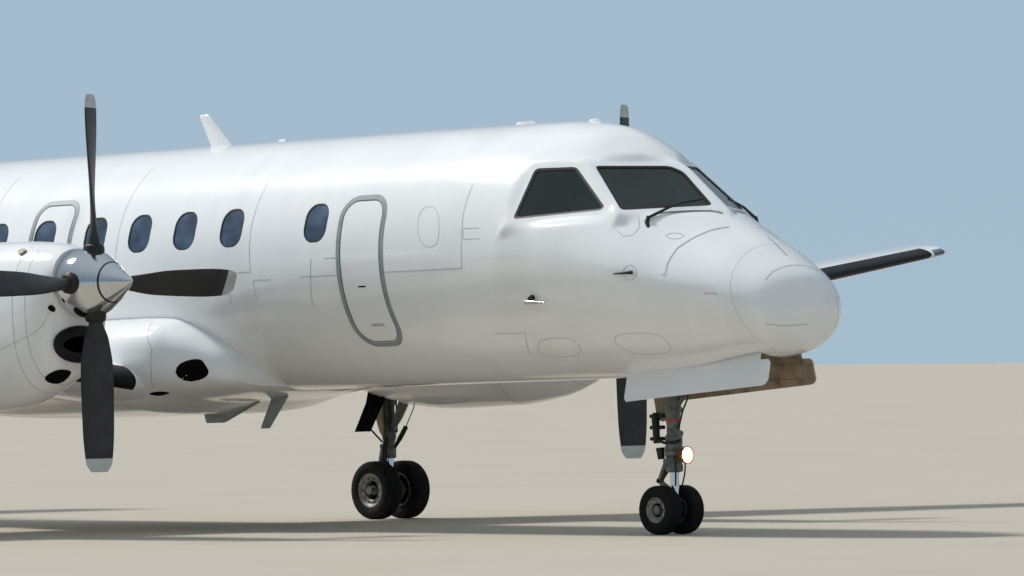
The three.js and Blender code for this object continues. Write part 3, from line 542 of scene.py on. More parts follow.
# Each finish: its real material and making, dark, middle and light sRGB tones, roughness, the scale of their
# clouds in cycles to a metre, and where there is grain its scale and depth in metres.
FINISHES = {
    # Polyurethane enamel sprayed on aluminium sheet: a deep clear gloss. The sheet ripples over about 250 mm
    # between its frames, which bends the reflections slightly.
    "white": dict(name="gloss_enamel_on_aluminium", tones=("#EDEFF0", "paint", "#E6E7E6"), roughness=0.16,
        scale=1.3, detail=4, stretch=(1, 1, 0.35), grain=4, depth=0.0016, grain_detail=1, Coat_Weight=0.5,
        Coat_Roughness=0.04),
    # Enamel brushed by hand round the exits: satin grey, a little uneven; the same grey is laid as painted
    # shade in the strip under the windscreens
    "door_grey": dict(name="satin_grey_enamel", tones=("#868D8B", "#90979A", "#9AA09D"), roughness=0.42,
        scale=9),
    # Sealant pressed into the joints of the sheets and wiped flush: matt grey, patchy
    "seam": dict(name="wiped_sealant", tones=("#8E9396", "#A3A7A9", "#B9BCBD"), roughness=0.6, scale=14),
    # Neoprene de-icing boot, cemented on: nearly black, dull satin, faintly grained
    "boot": dict(name="neoprene_boot", tones=("#08080A", "#0E0F11", "#191A1C"), roughness=0.5, scale=6,
        detail=5, grain=60, depth=0.0006, Specular_IOR_Level=0.25),
    # Moulded carbon-black tyre rubber: very dark and dull
    "tyre": dict(name="moulded_tyre_rubber", tones=("#0B0B0C", "#131314", "#201F1E"), roughness=0.8,
        scale=24, detail=5, grain=300, depth=0.0005, Specular_IOR_Level=0.25),
    # Grey-green enamel on forged legs: satin, greasy and dusty in its corners
    "gear": dict(name="grey_green_enamel", tones=("#484B48", "#696D69", "#868A84"), roughness=0.4,
        scale=22, detail=5, grain=90, depth=0.0006),
    # Hard chrome on ground steel: the pistons' bright mirror under an oil film
    "chrome": dict(name="hard_chrome", tones=("#CDD0D2", "#D8DBDC", "#E2E4E5"), roughness=0.08, scale=30,
        metallic=1),
    # Spun and polished aluminium: a bright, nearly clean mirror
    "spun": dict(name="polished_spun_aluminium", tones=("#C4C7CB", "#CDD0D3", "#D8DADC"), roughness=0.1,
        scale=6, stretch=(40, 1, 1), grain=6, depth=0.00008, metallic=1),
    # Erosion paint on composite blades: dark, matt, with a fine orange peel
    "blade": dict(name="matt_blade_paint", tones=("#1D1F21", "#25282A", "#303335"), roughness=0.5, scale=7,
        detail=4, grain=180, depth=0.0004),
    # Light enamel band at the blade tips
    "tip": dict(name="light_tip_paint", tones=("#AAAEB0", "#B9BDBF", "#C6C9CB"), roughness=0.4, scale=12),
    # Heat-stained steel with soot: brownish black metal of exhausts and brakes; also painted shade on the
    # ribs of the inner main gear doors
    "dark": dict(name="sooted_steel", tones=("#17181A", "#2B2B2C", "#4A4541"), roughness=0.55, scale=15,
        detail=5, metallic=0.3),
    # Painted shade: flat black that stands in for the shade inside the intakes, gear bays, wheels, inlets,
    # vents and the door's slot, and on the inner main gear doors; deep and without shine
    "pit": dict(name="flat_black_paint", tones=("#060607", "#0A0A0B", "#121213"), roughness=0.95, scale=11,
        Specular_IOR_Level=0.1),
    # Extruded rubber seals, hoses and wiper blades: black, soft satin
    "rubber": dict(name="extruded_black_rubber", tones=("#0A0B0C", "#111213", "#1B1C1D"), roughness=0.55,
        scale=40),
    # Laminated heated glass: a grey-green tint with a sharp reflection
    "glass": dict(name="laminated_cockpit_glass", tones=("#52645F", "glass", "#6A7D77"), roughness=0.03,
        scale=2, Transmission_Weight=0.92, IOR=1.5),
    # Stretched acrylic cabin windows before a dark cabin: an opaque slate blue painted for the shaded cabin
    # and the sky reflected in the pane, glossy, softly clouded
    "cabin_glass": dict(name="stretched_acrylic_window", tones=("#2B3646", "#3F5068", "#5A6E86"),
        roughness=0.06, scale=3.6, stretch=(1, 1, 1.4), Coat_Weight=0.6, Coat_Roughness=0.02),
    # Moulded panels and powder-coated metal of the flight deck: grey, finely grained
    "trim": dict(name="grained_grey_moulding", tones=("#2E3134", "#3B3E41", "#4A4D50"), roughness=0.6,
        scale=18, detail=4, grain=420, depth=0.0004),
    # Woven seat cover: grey-blue cloth whose threads are drawn 3 mm wide so that they show
    "cloth": dict(name="woven_seat_cloth", tones=("#2C3137", "#383E45", "#444B53"), roughness=0.9,
        scale=330, detail=0, grain=330, depth=0.001, grain_detail=0, Sheen_Weight=0.3),
    # A lit lamp behind clear glass: warm white that lights itself
    "lamp": dict(name="lit_lamp_glass", tones=("#FFE2B8", "#FFE9C4", "#FFF2DC"), roughness=0.1, scale=60,
        Emission_Strength=4.5, Emission_Color="#FFD7A8"),
    # Enamel on cast wheels with brake dust in it: brownish grey
    "hub": dict(name="light_hub_enamel", tones=("#5E5A55", "#87837C", "#A19D96"), roughness=0.45, scale=26,
        detail=5),
    # Chromate primer on the ribbed insides of gear doors: tan, oil-stained
    "primer": dict(name="tan_primer", tones=("#75695A", "#9A8970", "#AB9C84"), roughness=0.55, scale=9,
        detail=5),
    # Moulded lens and painted bands: deep glossy red
    "red": dict(name="red_moulded_glass", tones=("#8E1C18", "#A3231E", "#B22B25"), roughness=0.12,
        scale=30, Coat_Weight=0.5),
    # Passivated steel of the lamp housing: warm, orange-brown satin metal
    "amber": dict(name="passivated_steel", tones=("#9C5A22", "#B9702E", "#D08E4C"), roughness=0.35,
        scale=40, metallic=0.6),
    # Sealed concrete floor: pale, warm, matt, clouded over metres
    "floor": dict(name="pale_sealed_concrete", tones=("#AFA798", "floor", "#B3AA9C"), roughness=0.8,
        scale=0.35, stops=(0.25, 0.5, 0.75)),
}


def make_finish(name, tones, roughness, scale, detail=3, stretch=(1, 1, 1), stops=(0.32, 0.54, 0.78), grain=0,
                depth=0, grain_detail=2, metallic=0, **sockets):
    """A material whose tones are clouds of object noise, with finer noise as its bump."""
    material = bpy.data.materials.new(name)
    material.use_nodes = True
    tree = material.node_tree
    shader = tree.nodes["Principled BSDF"]
    for key, value in dict(sockets, Roughness=roughness, Metallic=metallic).items():
        shader.inputs[key.replace("_", " ")].default_value = linear(value) if key.endswith("Color") else value
    chosen = {"paint": look().paint_colour, "glass": look().glass_colour, "floor": look().floor_colour}
    tones = [chosen.get(tone, tone) for tone in tones]
    clouds = object_noise(tree, scale, detail, stretch)
    tree.links.new(ramp(tree, clouds, list(zip(stops, tones))), shader.inputs["Base Color"])
    if grain:
        height = object_noise(tree, grain, grain_detail, stretch)
        bumps = add(tree, "ShaderNodeBump", [("Height", height)], [("Distance", depth)])
        tree.links.new(bumps.outputs["Normal"], shader.inputs["Normal"])
    return material


MADE = {}


def finish_of(name):
    """The material of that name, made once."""
    if name not in MADE:
        MADE[name] = make_finish(**FINISHES[name])
    return MADE[name]


def look():
    """The user's sizes and colours."""
    return bpy.context.scene.airliner_look


# Fuselage pieces

DOORS = {
    # middle x, width, bottom, top, corner radius, side
    "passenger_door": (-2.76, 0.69, -0.815, 0.56, 0.09, 1),
    "forward_exit": (-2.7, 0.505, -0.755, 0.505, 0.15, -1),
    "overwing_exit_left": (-6.965, 0.51, -0.15, 0.64, 0.12, 1),
    "overwing_exit_right": (-6.965, 0.51, -0.15, 0.64, 0.12, -1),
    "cargo_door": (-11.05, 1.3, -0.6, 0.64, 0.11, 1),
}
DOOR_GAP = 0.005
DOOR_DEPTH = 0.12
WINDOW_Z = (0.153 + 0.506) / 2  # the middle height of the cabin windows
WINDOW_MIDDLES = [-3.31, -4.44, -5.08, -5.705, -6.33, -7.055, -7.74, -8.375, -9.01, -9.645, -10.28]


def joint_x(angle):
    """Where the radome's leaning joint lies at each angle round the nose, closed in on step by step."""
    x = np.full(len(angle), 1.4)
    for _ in range(16):
        x = RADOME_JOINT["x"] - RADOME_JOINT["lean"] * HULL.point(x, angle)[:, 2]
    return x


def fuselage_body(x0, x1, columns, step, flat=False, grow=0.0, name="part"):
    """A closed length of fuselage between two places, either of them a number or a function of the angle.

    Its stations are evenly spaced, or closer together towards the nose tip.
    """
    angle = circle(columns)
    x0, x1 = (x(angle) if callable(x) else np.full(columns, float(x)) for x in (x0, x1))
    rows = max(3, int(np.abs(x1 - x0).max() / step) + 1)
    if x0.max() > NOSE_TIP - 3:
        x = NOSE_TIP - np.linspace(np.sqrt(NOSE_TIP - x0), np.sqrt(NOSE_TIP - x1), rows) ** 2
    else:
        x = np.linspace(x0, x1, rows)
    rings = HULL.point(x, angle, grow)
    if flat:
        rings = pressed(rings, -grow)
    return tube(rings, name=name)


def side_prism(x, z, outline, side, depth):
    """A cutter square to the side of the fuselage, from inside the skin by a depth to outside it."""
    outline = outline + (x, z)
    inner = np.abs(hull_side(outline[:, 0], outline[:, 1], side)[:, 1]).min() - depth
    return prism(outline, side * inner, side * (RADIUS + 0.2))


def door_outline(door, grow=0.0):
    """A door's outline about its middle, and that middle."""
    x, width, bottom, top, corner, side = DOORS[door]
    outline = rounded(width + 2 * grow, top - bottom + 2 * grow, corner + grow)
    return outline, x, (top + bottom) / 2, side


def window_outline(grow=0.0):
    """A cabin window's outline: an upright rectangle with very round corners."""
    wide, tall = look().window_width, look().window_height
    return rounded(wide + 2 * grow, tall + 2 * grow, 0.125 + grow)


def cabin_windows():
    """The middles of the cabin windows on both sides, as (x, side)."""
    return [(x, side) for side in (1, -1) for x in WINDOW_MIDDLES if not (side > 0 and x < -10.1)]


def door_piece(door):
    """A door cut from the same skin as the fuselage round it, a gap smaller than its hole."""
    outline, x, z, side = door_outline(door)
    half = DOORS[door][1] / 2 + 0.15
    body = fuselage_body(x + half, x - half, 192, 0.05, name=door + "_skin")
    carve(body, fuselage_body(x + half + 0.1, x - half - 0.1, 192, 0.05, grow=-DOOR_DEPTH))
    return carve(body, prism(outline + (x, z), side * 0.3, side * (RADIUS + 0.2)), "INTERSECT")


def skin_pieces():
    """The cabin, the aft fuselage and the tail cone with their holes, and the doors that fill them.

    The cabin windows are pockets, 18 mm deep at their shallowest.
    """
    cabin = fuselage_body(NOSE_TIP - COCKPIT_END, NOSE_TIP - CABIN_END, 192, 0.12, name="cabin_skin")
    aft = fuselage_body(NOSE_TIP - CABIN_END, NOSE_TIP - AFT_END, 160, 0.12, name="aft_skin")
    tail = fuselage_body(NOSE_TIP - AFT_END, NOSE_TIP - LENGTH, 160, 0.1, name="tail_cone_skin")
    holes = []
    for door in DOORS:
        outline, x, z, side = door_outline(door, DOOR_GAP)
        holes.append(side_prism(x, z, outline, side, DOOR_DEPTH))
    holes = joined("holes", holes)
    carve(cabin, holes, keep=True)
    carve(aft, holes)
    pockets = [side_prism(x, WINDOW_Z, window_outline(), side, 0.018) for x, side in cabin_windows()]
    pockets = joined("pockets", pockets)
    carve(cabin, pockets, keep=True)
    doors = [door_piece(door) for door in DOORS]
    for piece in doors[2:4]:
        carve(piece, pockets, keep=True)
    remove(pockets)
    nodes = ["cabin_section", "aft_fuselage", "tail_cone", *DOORS]
    for piece, node in zip([cabin, aft, tail] + doors, nodes):
        true_normals(piece)
        dress(piece, "white", [node])


def band(points, width, skin=HULL, lift=0.0015, closed=False, thick=0.003):
    """A strip on a skin along a path of airframe points: the path is cut fine and moved onto the skin.

    The strip's edges lie half its width to both sides, along the cross product of the path's direction and
    the skin's normal; its face stands lift off the skin, and its back thick below that.
    """
    path = skin.onto(dense(points, 0.03, True) if closed else dense(points))
    normal = skin.normal(path)
    along = np.roll(path, -1, 0) - np.roll(path, 1, 0) if closed else np.gradient(path, axis=0)
    aside = unit(np.cross(along, normal)) * width / 2
    if skin is HULL:
        path = pressed(path)
    corners = ((-1, lift - thick), (-1, lift), (0, lift), (1, lift), (1, lift - thick))
    rings = np.stack([path + sign * aside + height * normal for sign, height in corners], 1)
    return ringed(rings, 50) if closed else tube(rings, 50)


def patch(points, skin, lift=0.002, thick=0.006):
    """A thin plate on a skin: its outline shrinks in steps to its middle, each ring moved onto the skin."""
    middle = points.mean(0)
    rings = []
    for share, height in ((1, lift - thick), (1, lift), (0.75, lift), (0.4, lift), (0.03, lift)):
        ring = skin.onto(middle + share * (points - middle))
        rings.append(ring + height * skin.normal(ring))
    return tube(rings, 50)


def softened(points, times=3):
    """A closed outline whose corners are cut off at a quarter of each edge, again and again."""
    points = np.asarray(points, float)
    for _ in range(times):
        ahead = np.roll(points, -1, 0)
        pair = np.stack([0.75 * points + 0.25 * ahead, 0.25 * points + 0.75 * ahead], 1)
        points = pair.reshape(-1, points.shape[1])
    return points


def mirrored(points, side):
    """The points given for starboard, or their mirror image for port."""
    return np.asarray(points, float) * (1, -side, 1)


def dense(points, step=0.04, closed=False):
    """Points every few centimetres along straight lines through the given corners."""
    points = np.asarray(points, float)
    if closed:
        points = np.concatenate([points, points[:1]])
    pieces = []
    for a, b in zip(points[:-1], points[1:]):
        count = max(2, int(np.linalg.norm(b - a) / step) + 1)
        pieces.append(a + (b - a) * np.linspace(0, 1, count)[:, None])
    path = np.concatenate(pieces)
    keep = np.ones(len(path), bool)
    keep[1:] = np.linalg.norm(np.diff(path, axis=0), axis=1) > 1e-6
    path = path[keep]
    return path[:-1] if closed else path


def window_panes():
    """All cabin windows: a domed pane set 9 mm into each pocket, and a dark seal round its edge."""
    panes, seals = [], []
    outline = window_outline(0.002)
    steps = ((1, -0.016), (1, -0.009), (0.85, -0.009), (0.65, -0.009), (0.35, -0.009), (0.02, -0.009))
    for x, side in cabin_windows():
        rings = [hull_side(*(outline * share + (x, WINDOW_Z)).T, side, depth) for share, depth in steps]
        panes.append(tube(rings, 60))
        rim = dense(window_outline(-0.005), 0.03, True) + (x, WINDOW_Z)
        seals.append(band(hull_side(*rim.T, side), 0.013, lift=-0.0045, closed=True, thick=0.006))
    dress(joined("cabin_window_panes", panes), "cabin_glass")
    dress(joined("cabin_window_seals", seals), "rubber")


def flight_deck():
    """The nose skin with its windows cut and its wheel bay, hollow over the floor, and the radome."""
    gap = 0.002
    shell = fuselage_body(lambda angle: joint_x(angle) - gap, NOSE_TIP - COCKPIT_END, 256, 0.022, flat=True,
        name="flight_deck_skin")
    room = fuselage_body(NOSE_TIP - 1.15, NOSE_TIP - 3.25, 96, 0.06, flat=True, grow=-0.06)
    carve(room, box((-4, -2, -2), (2, 2, -0.42)))
    carve(shell, room)
    for pane in PANES.values():
        carve(shell, pane.slab(-0.3, 0.05))
    back, front, half, roof = (NOSE_BAY[key] for key in ("back", "front", "half", "roof"))
    carve(shell, box((back, -half, -1.6), (front, half, roof)))
    radome = fuselage_body(NOSE_TIP - 1e-6, lambda angle: joint_x(angle) + gap, 192, 0.012,
        name="radome_skin")
    dress(shell, "white", ["flight_deck_section"])
    true_normals(radome)
    dress(radome, "white", ["radome"])


def flight_deck_glass():
    """Flat laminated panes set 5 mm in, each in a black rubber seal."""
    seals = []
    for name, pane in PANES.items():
        dress(pane.slab(-0.03, -0.012, -0.001, name + "_pane"), "glass", [name])
        outer, inner = pane.outline(), pane.outline(-0.022, 0.04)
        rings = [pane.at(*place) for place in ((outer, -0.03), (outer, -0.003), (inner, -0.006),
            (inner, -0.03))]
        seals.append(ringed(np.stack(rings, 1), 40))
    dress(joined("flight_deck_window_seals", seals), "rubber")


# Wing and tail surfaces


class Foil:
    """A tapered wing: leading edge, chord, height and thickness are linear along the span."""

    def __init__(self, lead_x, sweep, root, taper, z, rise, thick, thin, camber, upright=False):
        self.lead_x, self.sweep, self.root, self.taper = lead_x, sweep, root, taper
        self.z, self.rise, self.thick, self.thin = z, rise, thick, thin
        self.camber, self.upright = camber, upright

    def chord(self, span):
        """The chord at a place along the span."""
        return self.root + self.taper * span

    def lead(self, span):
        """The leading edge's x."""
        return self.lead_x + self.sweep * span

    def half(self, span, share):
        """Half thickness at a share of the chord, by the four-digit formula with a blunt trailing edge."""
        curve = (0.2969 * np.sqrt(share) - 0.126 * share - 0.3516 * share ** 2 + 0.2843 * share ** 3
            - 0.1036 * share ** 4)
        return 5 * (self.thick + self.thin * span) * self.chord(span) * curve + 0.004 * share

    def point(self, span, share, up=0):
        """A point of the upper surface (up 1), the lower one (up -1) or the mean line (up 0).

        A fin's points are laid out like a wing's and stood on end.
        """
        span, share, up = np.broadcast_arrays(np.asarray(span, float), np.asarray(share, float), up)
        bow = 4 * self.camber * self.chord(span) * share * (1 - share)
        x, z = self.lead(span) - share * self.chord(span), self.z + self.rise * span + bow
        z = z + up * self.half(span, share)
        return np.stack([x, -z, span] if self.upright else [x, span, z], -1)

    def hinge_frame(self, share, span):
        """A hinge line's own frame: a point on it, then unit vectors forward, along it and up."""
        here = self.point(span, share)
        along = unit(self.point(span + 0.1, share) - here)
        forward = unit(np.array([1.0, 0, 0]) - along[0] * along)
        return here, forward, along, np.cross(forward, along)


WING = Foil(-5.27, -1.117 / 10.72, 2.837, -1.773 / 10.72, -1.08 - 1.155 * 0.1343, 0.1343, 0.16,
    -0.04 / 10.72, 0.02)
TAILPLANE = Foil(NOSE_TIP - 16.85, -0.24, 2.06, -0.235, 0.33, 0.26, 0.11, 0, 0)
FIN = Foil(NOSE_TIP - 14.62, -0.69, 4.18, -0.59, 0, 0, 0.1, 0, 0, upright=True)
HALF_SPAN = 10.72
TAIL_SPAN = 4.625
FIN_TOP = 4.774


def foil_body(foil, inner, outer, side=1, shares=(0, 1), rows=40, points=40, tip=0.0, name="part"):
    """A closed length of wing between two shares of the chord; a tip rounds off over its last stretch.

    Round the section the share runs from the back over the top to the front and back underneath, with its
    points close together at the nose; rows are spaced along the span and closer together in a round tip.
    """
    front, back = shares
    sweep = np.linspace(0, math.pi, points)
    over = np.linspace(back, front, points) if front else back * (1 + np.cos(sweep)) / 2
    share, up = np.concatenate([over, over[::-1]]), np.repeat((1.0, -1.0), points)
    if not front:
        share, up = np.delete(share, points), np.delete(up, points)
    span, squeeze = np.linspace(inner, outer - tip, rows), np.ones(rows)
    if tip:
        turn = np.linspace(0, math.pi / 2, 10)[1:]
        span = np.concatenate([span, outer - tip + tip * np.sin(turn)])
        squeeze = np.concatenate([squeeze, np.clip(np.cos(turn), 0.03, 1)])
    mean = foil.point(span[:, None], share)
    rings = mean + (foil.point(span[:, None], share, up) - mean) * squeeze[:, None, None]
    if tip:
        hold = foil.point(span, 0.7)[:, None]
        shrink = 1 - 0.2 * (1 - np.sqrt(squeeze))
        rings = hold + (rings - hold) * shrink[:, None, None]
    return tube(rings * (1, side, 1), name=name)


def bracket(foil, share, span, outline, near, far, side, drop=0.0):
    """A plate square to a hinge line: an outline of (forward, up) about a point drop below the line."""
    here, forward, along, up = foil.hinge_frame(share, span)
    rings = [[here + d * along + x * forward + (z - drop) * up for x, z in outline] for d in (near, far)]
    return tube(np.array(rings) * (1, side, 1))


def behind(foil, share, inner, outer, side, ahead=0.0, reach=0.6):
    """A block that holds everything behind a hinge line between two span positions, its ends square to it."""
    length = np.linalg.norm(foil.point(outer, share) - foil.point(inner, share))
    outline = [(ahead, -reach), (ahead, reach), (-foil.root, reach), (-foil.root, -reach)]
    return bracket(foil, share, inner, outline, 0, length, side)


CLEAR = 0.012
FLAP_SHARE = 0.73
AILERON = {"share": 0.75, "inner": 7.0, "outer": 10.3}
FLAPS = {"inboard": (1.5, 2.76), "outboard": (3.96, 6.97)}
ELEVATOR = {"share": 0.66, "inner": 0.62, "outer": 4.5}
RUDDER = {"share": 0.64, "inner": 1.3, "outer": 4.6}
SIDES = (("left", 1), ("right", -1))


def control_gap(foil, place, side):
    """The room for a control surface and its round nose."""
    ahead = foil.half(place["inner"], place["share"]) + CLEAR
    return behind(foil, place["share"], place["inner"] - CLEAR, place["outer"] + CLEAR, side, ahead)


def control(name, foil, place, spans, side, word=""):
    """A control surface: the wing behind its hinge line with a round nose, and the lugs that hold it."""
    inner, outer, share = place["inner"], place["outer"], place["share"]
    surface = foil_body(foil, inner - 0.1, outer + 0.1, side, (share - 0.02, 1), 24, 14,
        name=f"{name}_skin{word}")
    carve(surface, behind(foil, share, inner, outer, side), "INTERSECT")
    line = np.linspace(inner + 0.001, outer - 0.001, 12)
    carve(surface, rod(foil.point(line, share) * (1, side, 1), 0.97 * foil.half(line, share), 28), "UNION")
    ahead = foil.half(inner, share) + CLEAR + 0.02
    lug = [(ahead, -0.018), (ahead, 0.018), (0.0, 0.018), (-0.018, 0.008), (-0.018, -0.008), (0.0, -0.018)]
    slot = [(0.2, -0.2), (0.2, 0.2), (-0.045, 0.2), (-0.045, -0.2)]
    lugs = joined(f"{name}_hinges{word}", [bracket(foil, share, span, lug, -0.01, 0.01, side)
        for span in spans])
    carve(surface, joined("slots", [bracket(foil, share, span, slot, -0.0103, 0.0103, side)
        for span in spans]))
    dress(lugs, "gear")
    dress(surface, "white", [name + word], body=name + word)


# outlines of a flap's hanger and arm about its pivot, x forward and z up
HANGER = [(0.025, -0.028), (0.33, 0.19), (0.06, 0.19), (-0.025, 0.028), (-0.025, -0.028)]
FLAP_ARM = [(0.025, -0.025), (0.025, 0.025), (-0.13, 0.19), (-0.33, 0.19), (-0.06, -0.025)]
FLAP_HINGES = {"inboard": (1.85, 2.45), "outboard": (4.5, 6.4)}


def wings():
    """Both wings with the gaps for their flaps and ailerons, and those surfaces."""
    for word, side in SIDES:
        wing = foil_body(WING, 1.25, HALF_SPAN, side, rows=60, points=56, tip=0.1, name="wing_skin_" + word)
        gaps = [behind(WING, FLAP_SHARE, a - CLEAR, b + CLEAR, side, CLEAR) for a, b in FLAPS.values()]
        carve(wing, joined("gaps", gaps + [control_gap(WING, AILERON, side)]))
        dress(wing, "white", ["wing_" + word])
        for place, (a, b) in FLAPS.items():
            flap = foil_body(WING, a - 0.1, b + 0.1, side, (FLAP_SHARE - 0.02, 1), 20, 16,
                name=f"flap_skin_{place}_{word}")
            carve(flap, behind(WING, FLAP_SHARE, a, b, side), "INTERSECT")
            dress(flap, "white", [f"flap_{place}_{word}"], body="flap_" + word)
            for part, outline, near, far, body in (("hangers", HANGER, 0.0002, 0.02, "airframe"),
                    ("arms", FLAP_ARM, -0.02, -0.0002, "flap_" + word)):
                plates = [bracket(WING, FLAP_SHARE, span, outline, near, far, side, 0.19)
                    for span in FLAP_HINGES[place]]
                dress(joined(f"flap_{part}_{place}_{word}", plates), "gear", body=body)
        control("aileron", WING, AILERON, (7.7, 9.6), side, "_" + word)


def boots():
    """Black rubber boots over the leading edges of wing, tailplane and fin, 2 mm proud of the skin."""
    for name, foil, spans, depth, sides in (("wing_boot", WING, ((1.45, 2.78), (3.94, 10.4)), (0.17, 0.055),
            SIDES), ("tailplane_boot", TAILPLANE, ((0.9, 4.5),), (0.11, 0.08), SIDES),
            ("fin_boot", FIN, ((2.3, 4.6),), (0.09, 0.09), (("centre", 1),))):
        for word, side in sides:
            pieces = [boot(foil, a, b, depth, side) for a, b in spans]
            dress(joined(f"{name}_{word}", pieces), "boot")


def boot(foil, inner, outer, depth, side, proud=0.002, rows=40, points=25, along_chord=False):
    """A skin round the nose of a wing, reaching back by one depth on top and another underneath.

    The depths are in metres, or shares of the chord.
    """
    turn, span = np.linspace(-1, 1, points), np.linspace(inner, outer, rows)
    share = np.where(turn < 0, depth[1], depth[0]) * turn ** 2 / (1
        if along_chord else foil.chord(span)[:, None])
    skin = foil.point(span[:, None], share, np.where(turn < 0, -1, 1))
    away = unit(skin - foil.point(span, 0.25)[:, None])
    return tube(np.concatenate([skin + proud * away, (skin - 0.004 * away)[:, ::-1]], 1) * (1, side, 1), 50)


def tail():
    """Tailplanes, elevators, fin with its dorsal fillet, and rudder."""
    for word, side in SIDES:
        plane = foil_body(TAILPLANE, 0.15, TAIL_SPAN, side, tip=0.06, name="tailplane_skin_" + word)
        carve(plane, control_gap(TAILPLANE, ELEVATOR, side))
        dress(plane, "white", ["tailplane_" + word])
        control("elevator", TAILPLANE, ELEVATOR, (1.3, 3.4), side, "_" + word)
    fin = foil_body(FIN, 0.7, FIN_TOP, tip=0.06, name="fin_skin")
    carve(fin, control_gap(FIN, RUDDER, 1))
    dress(fin, "white", ["fin"])
    dress(dorsal_fillet(), "white")
    control("rudder", FIN, RUDDER, (1.9, 3.9), 1)


def dorsal_fillet():
    """The long fillet ahead of the fin: a rounded edge rising from the fuselage top to the fin's front."""
    x = np.linspace(-11.0, -14.9, 50)
    rise = (-11.0 - x) / 2.9
    top = np.minimum(1.12 + 1.03 * rise, 2.15)
    foot = np.linspace(0.02, 0.2, 50)
    angle = np.linspace(-math.pi / 2, math.pi / 2, 15)
    low = 0.95
    y = np.sign(np.sin(angle)) * np.abs(np.sin(angle)) ** 0.8 * foot[:, None]
    y *= 0.45 + 0.55 * (1 - np.cos(angle)) ** 0.5
    z = low + (top[:, None] - low) * np.cos(angle) ** 0.7
    return tube(np.stack([np.broadcast_to(x[:, None], y.shape), y, z], -1), name="dorsal_fillet")


# Wing root fairing

# x, half width, top, bottom
FAIRING = np.array([
    (-4.61, 0.92, -0.88, -1.12),
    (-4.7, 1.07, -0.74, -1.155),
    (-4.86, 1.19, -0.61, -1.185),
    (-5.08, 1.32, -0.48, -1.215),
    (-5.3, 1.42, -0.41, -1.24),
    (-5.5, 1.45, -0.395, -1.29),
    (-5.8, 1.47, -0.39, -1.35),
    (-7.5, 1.45, -0.42, -1.35),
    (-8.4, 1.3, -0.62, -1.31),
    (-9.3, 0.85, -0.9, -1.175),
])
FAIRING_POWER = 0.62


def table_at(table, x):
    """The columns of a table with falling x, at any x, smoothly."""
    return [monotone(-table[:, 0], column, -np.asarray(x, float)) for column in table.T[1:]]


def fairing_shape(x):
    """The fairing's top, middle, bottom, half width and powers at x."""
    half, top, bottom = table_at(FAIRING, x)
    return top, (top + bottom) / 2, bottom, half, 2 / FAIRING_POWER, 2 / FAIRING_POWER


FAIRING_SKIN = Skin(fairing_shape)


def root_fairing():
    """The fairing round the wing roots; its angles are spaced so that the corners get even points."""
    x, even = np.linspace(FAIRING[0, 0], FAIRING[-1, 0], 110), circle(120)
    skin = tube(FAIRING_SKIN.point(x[:, None], even + 0.12 * np.sin(4 * even)), 40, "wing_root_fairing_skin")
    dress(skin, "white", ["wing_root_fairing"])


# Nacelles

# x, top, widest height, bottom, half width
NACELLE = np.array([
    (-3.99, 0.125, -0.19, -0.52, 0.325),
    (-4.055, 0.15, -0.3, -0.89, 0.37),
    (-4.3, 0.19, -0.4, -1.1, 0.43),
    (-4.75, 0.215, -0.48, -1.26, 0.47),
    (-5.3, 0.22, -0.52, -1.322, 0.5),
    (-6.1, 0.16, -0.54, -1.335, 0.5),
    (-6.8, -0.06, -0.6, -1.285, 0.48),
    (-7.45, -0.38, -0.76, -1.11, 0.38),
    (-7.98, -0.64, -0.76, -0.85, 0.14),
])
NACELLE_POWER = 0.86
COWL_END = -4.4
INTAKE = {"z": -0.726, "half_width": 0.245, "half_height": 0.13, "depth": 0.26, "x": -4.03}
EXHAUST = {"x": -6.5, "y": 0.395, "z": -1.09, "radius": 0.13, "length": 0.9, "bore": 0.3}
BAY = {"front": -6.78, "back": -7.44, "half": 0.215, "roof": -1.01}


def nacelle_shape(x):
    """The nacelle's top, widest height, bottom, half width and powers at x."""
    return *table_at(NACELLE, x), 2 / NACELLE_POWER, 2 / NACELLE_POWER


NACELLE_SKINS = {side: Skin(nacelle_shape, side * NACELLE_Y) for side in (1, -1)}


def nacelle_stations(x0, x1, step):
    """Stations along the nacelle, closer together over the rounded front edge of its chin."""
    front = NACELLE[0, 0]
    if x0 < front:
        return np.linspace(x0, x1, int((x0 - x1) / step) + 2)
    edge = front - 0.065 * np.linspace(0, 1, 9) ** 1.6
    return np.concatenate([edge, np.linspace(edge[-1] - 0.02, x1, int((edge[-1] - x1) / step) + 2)])


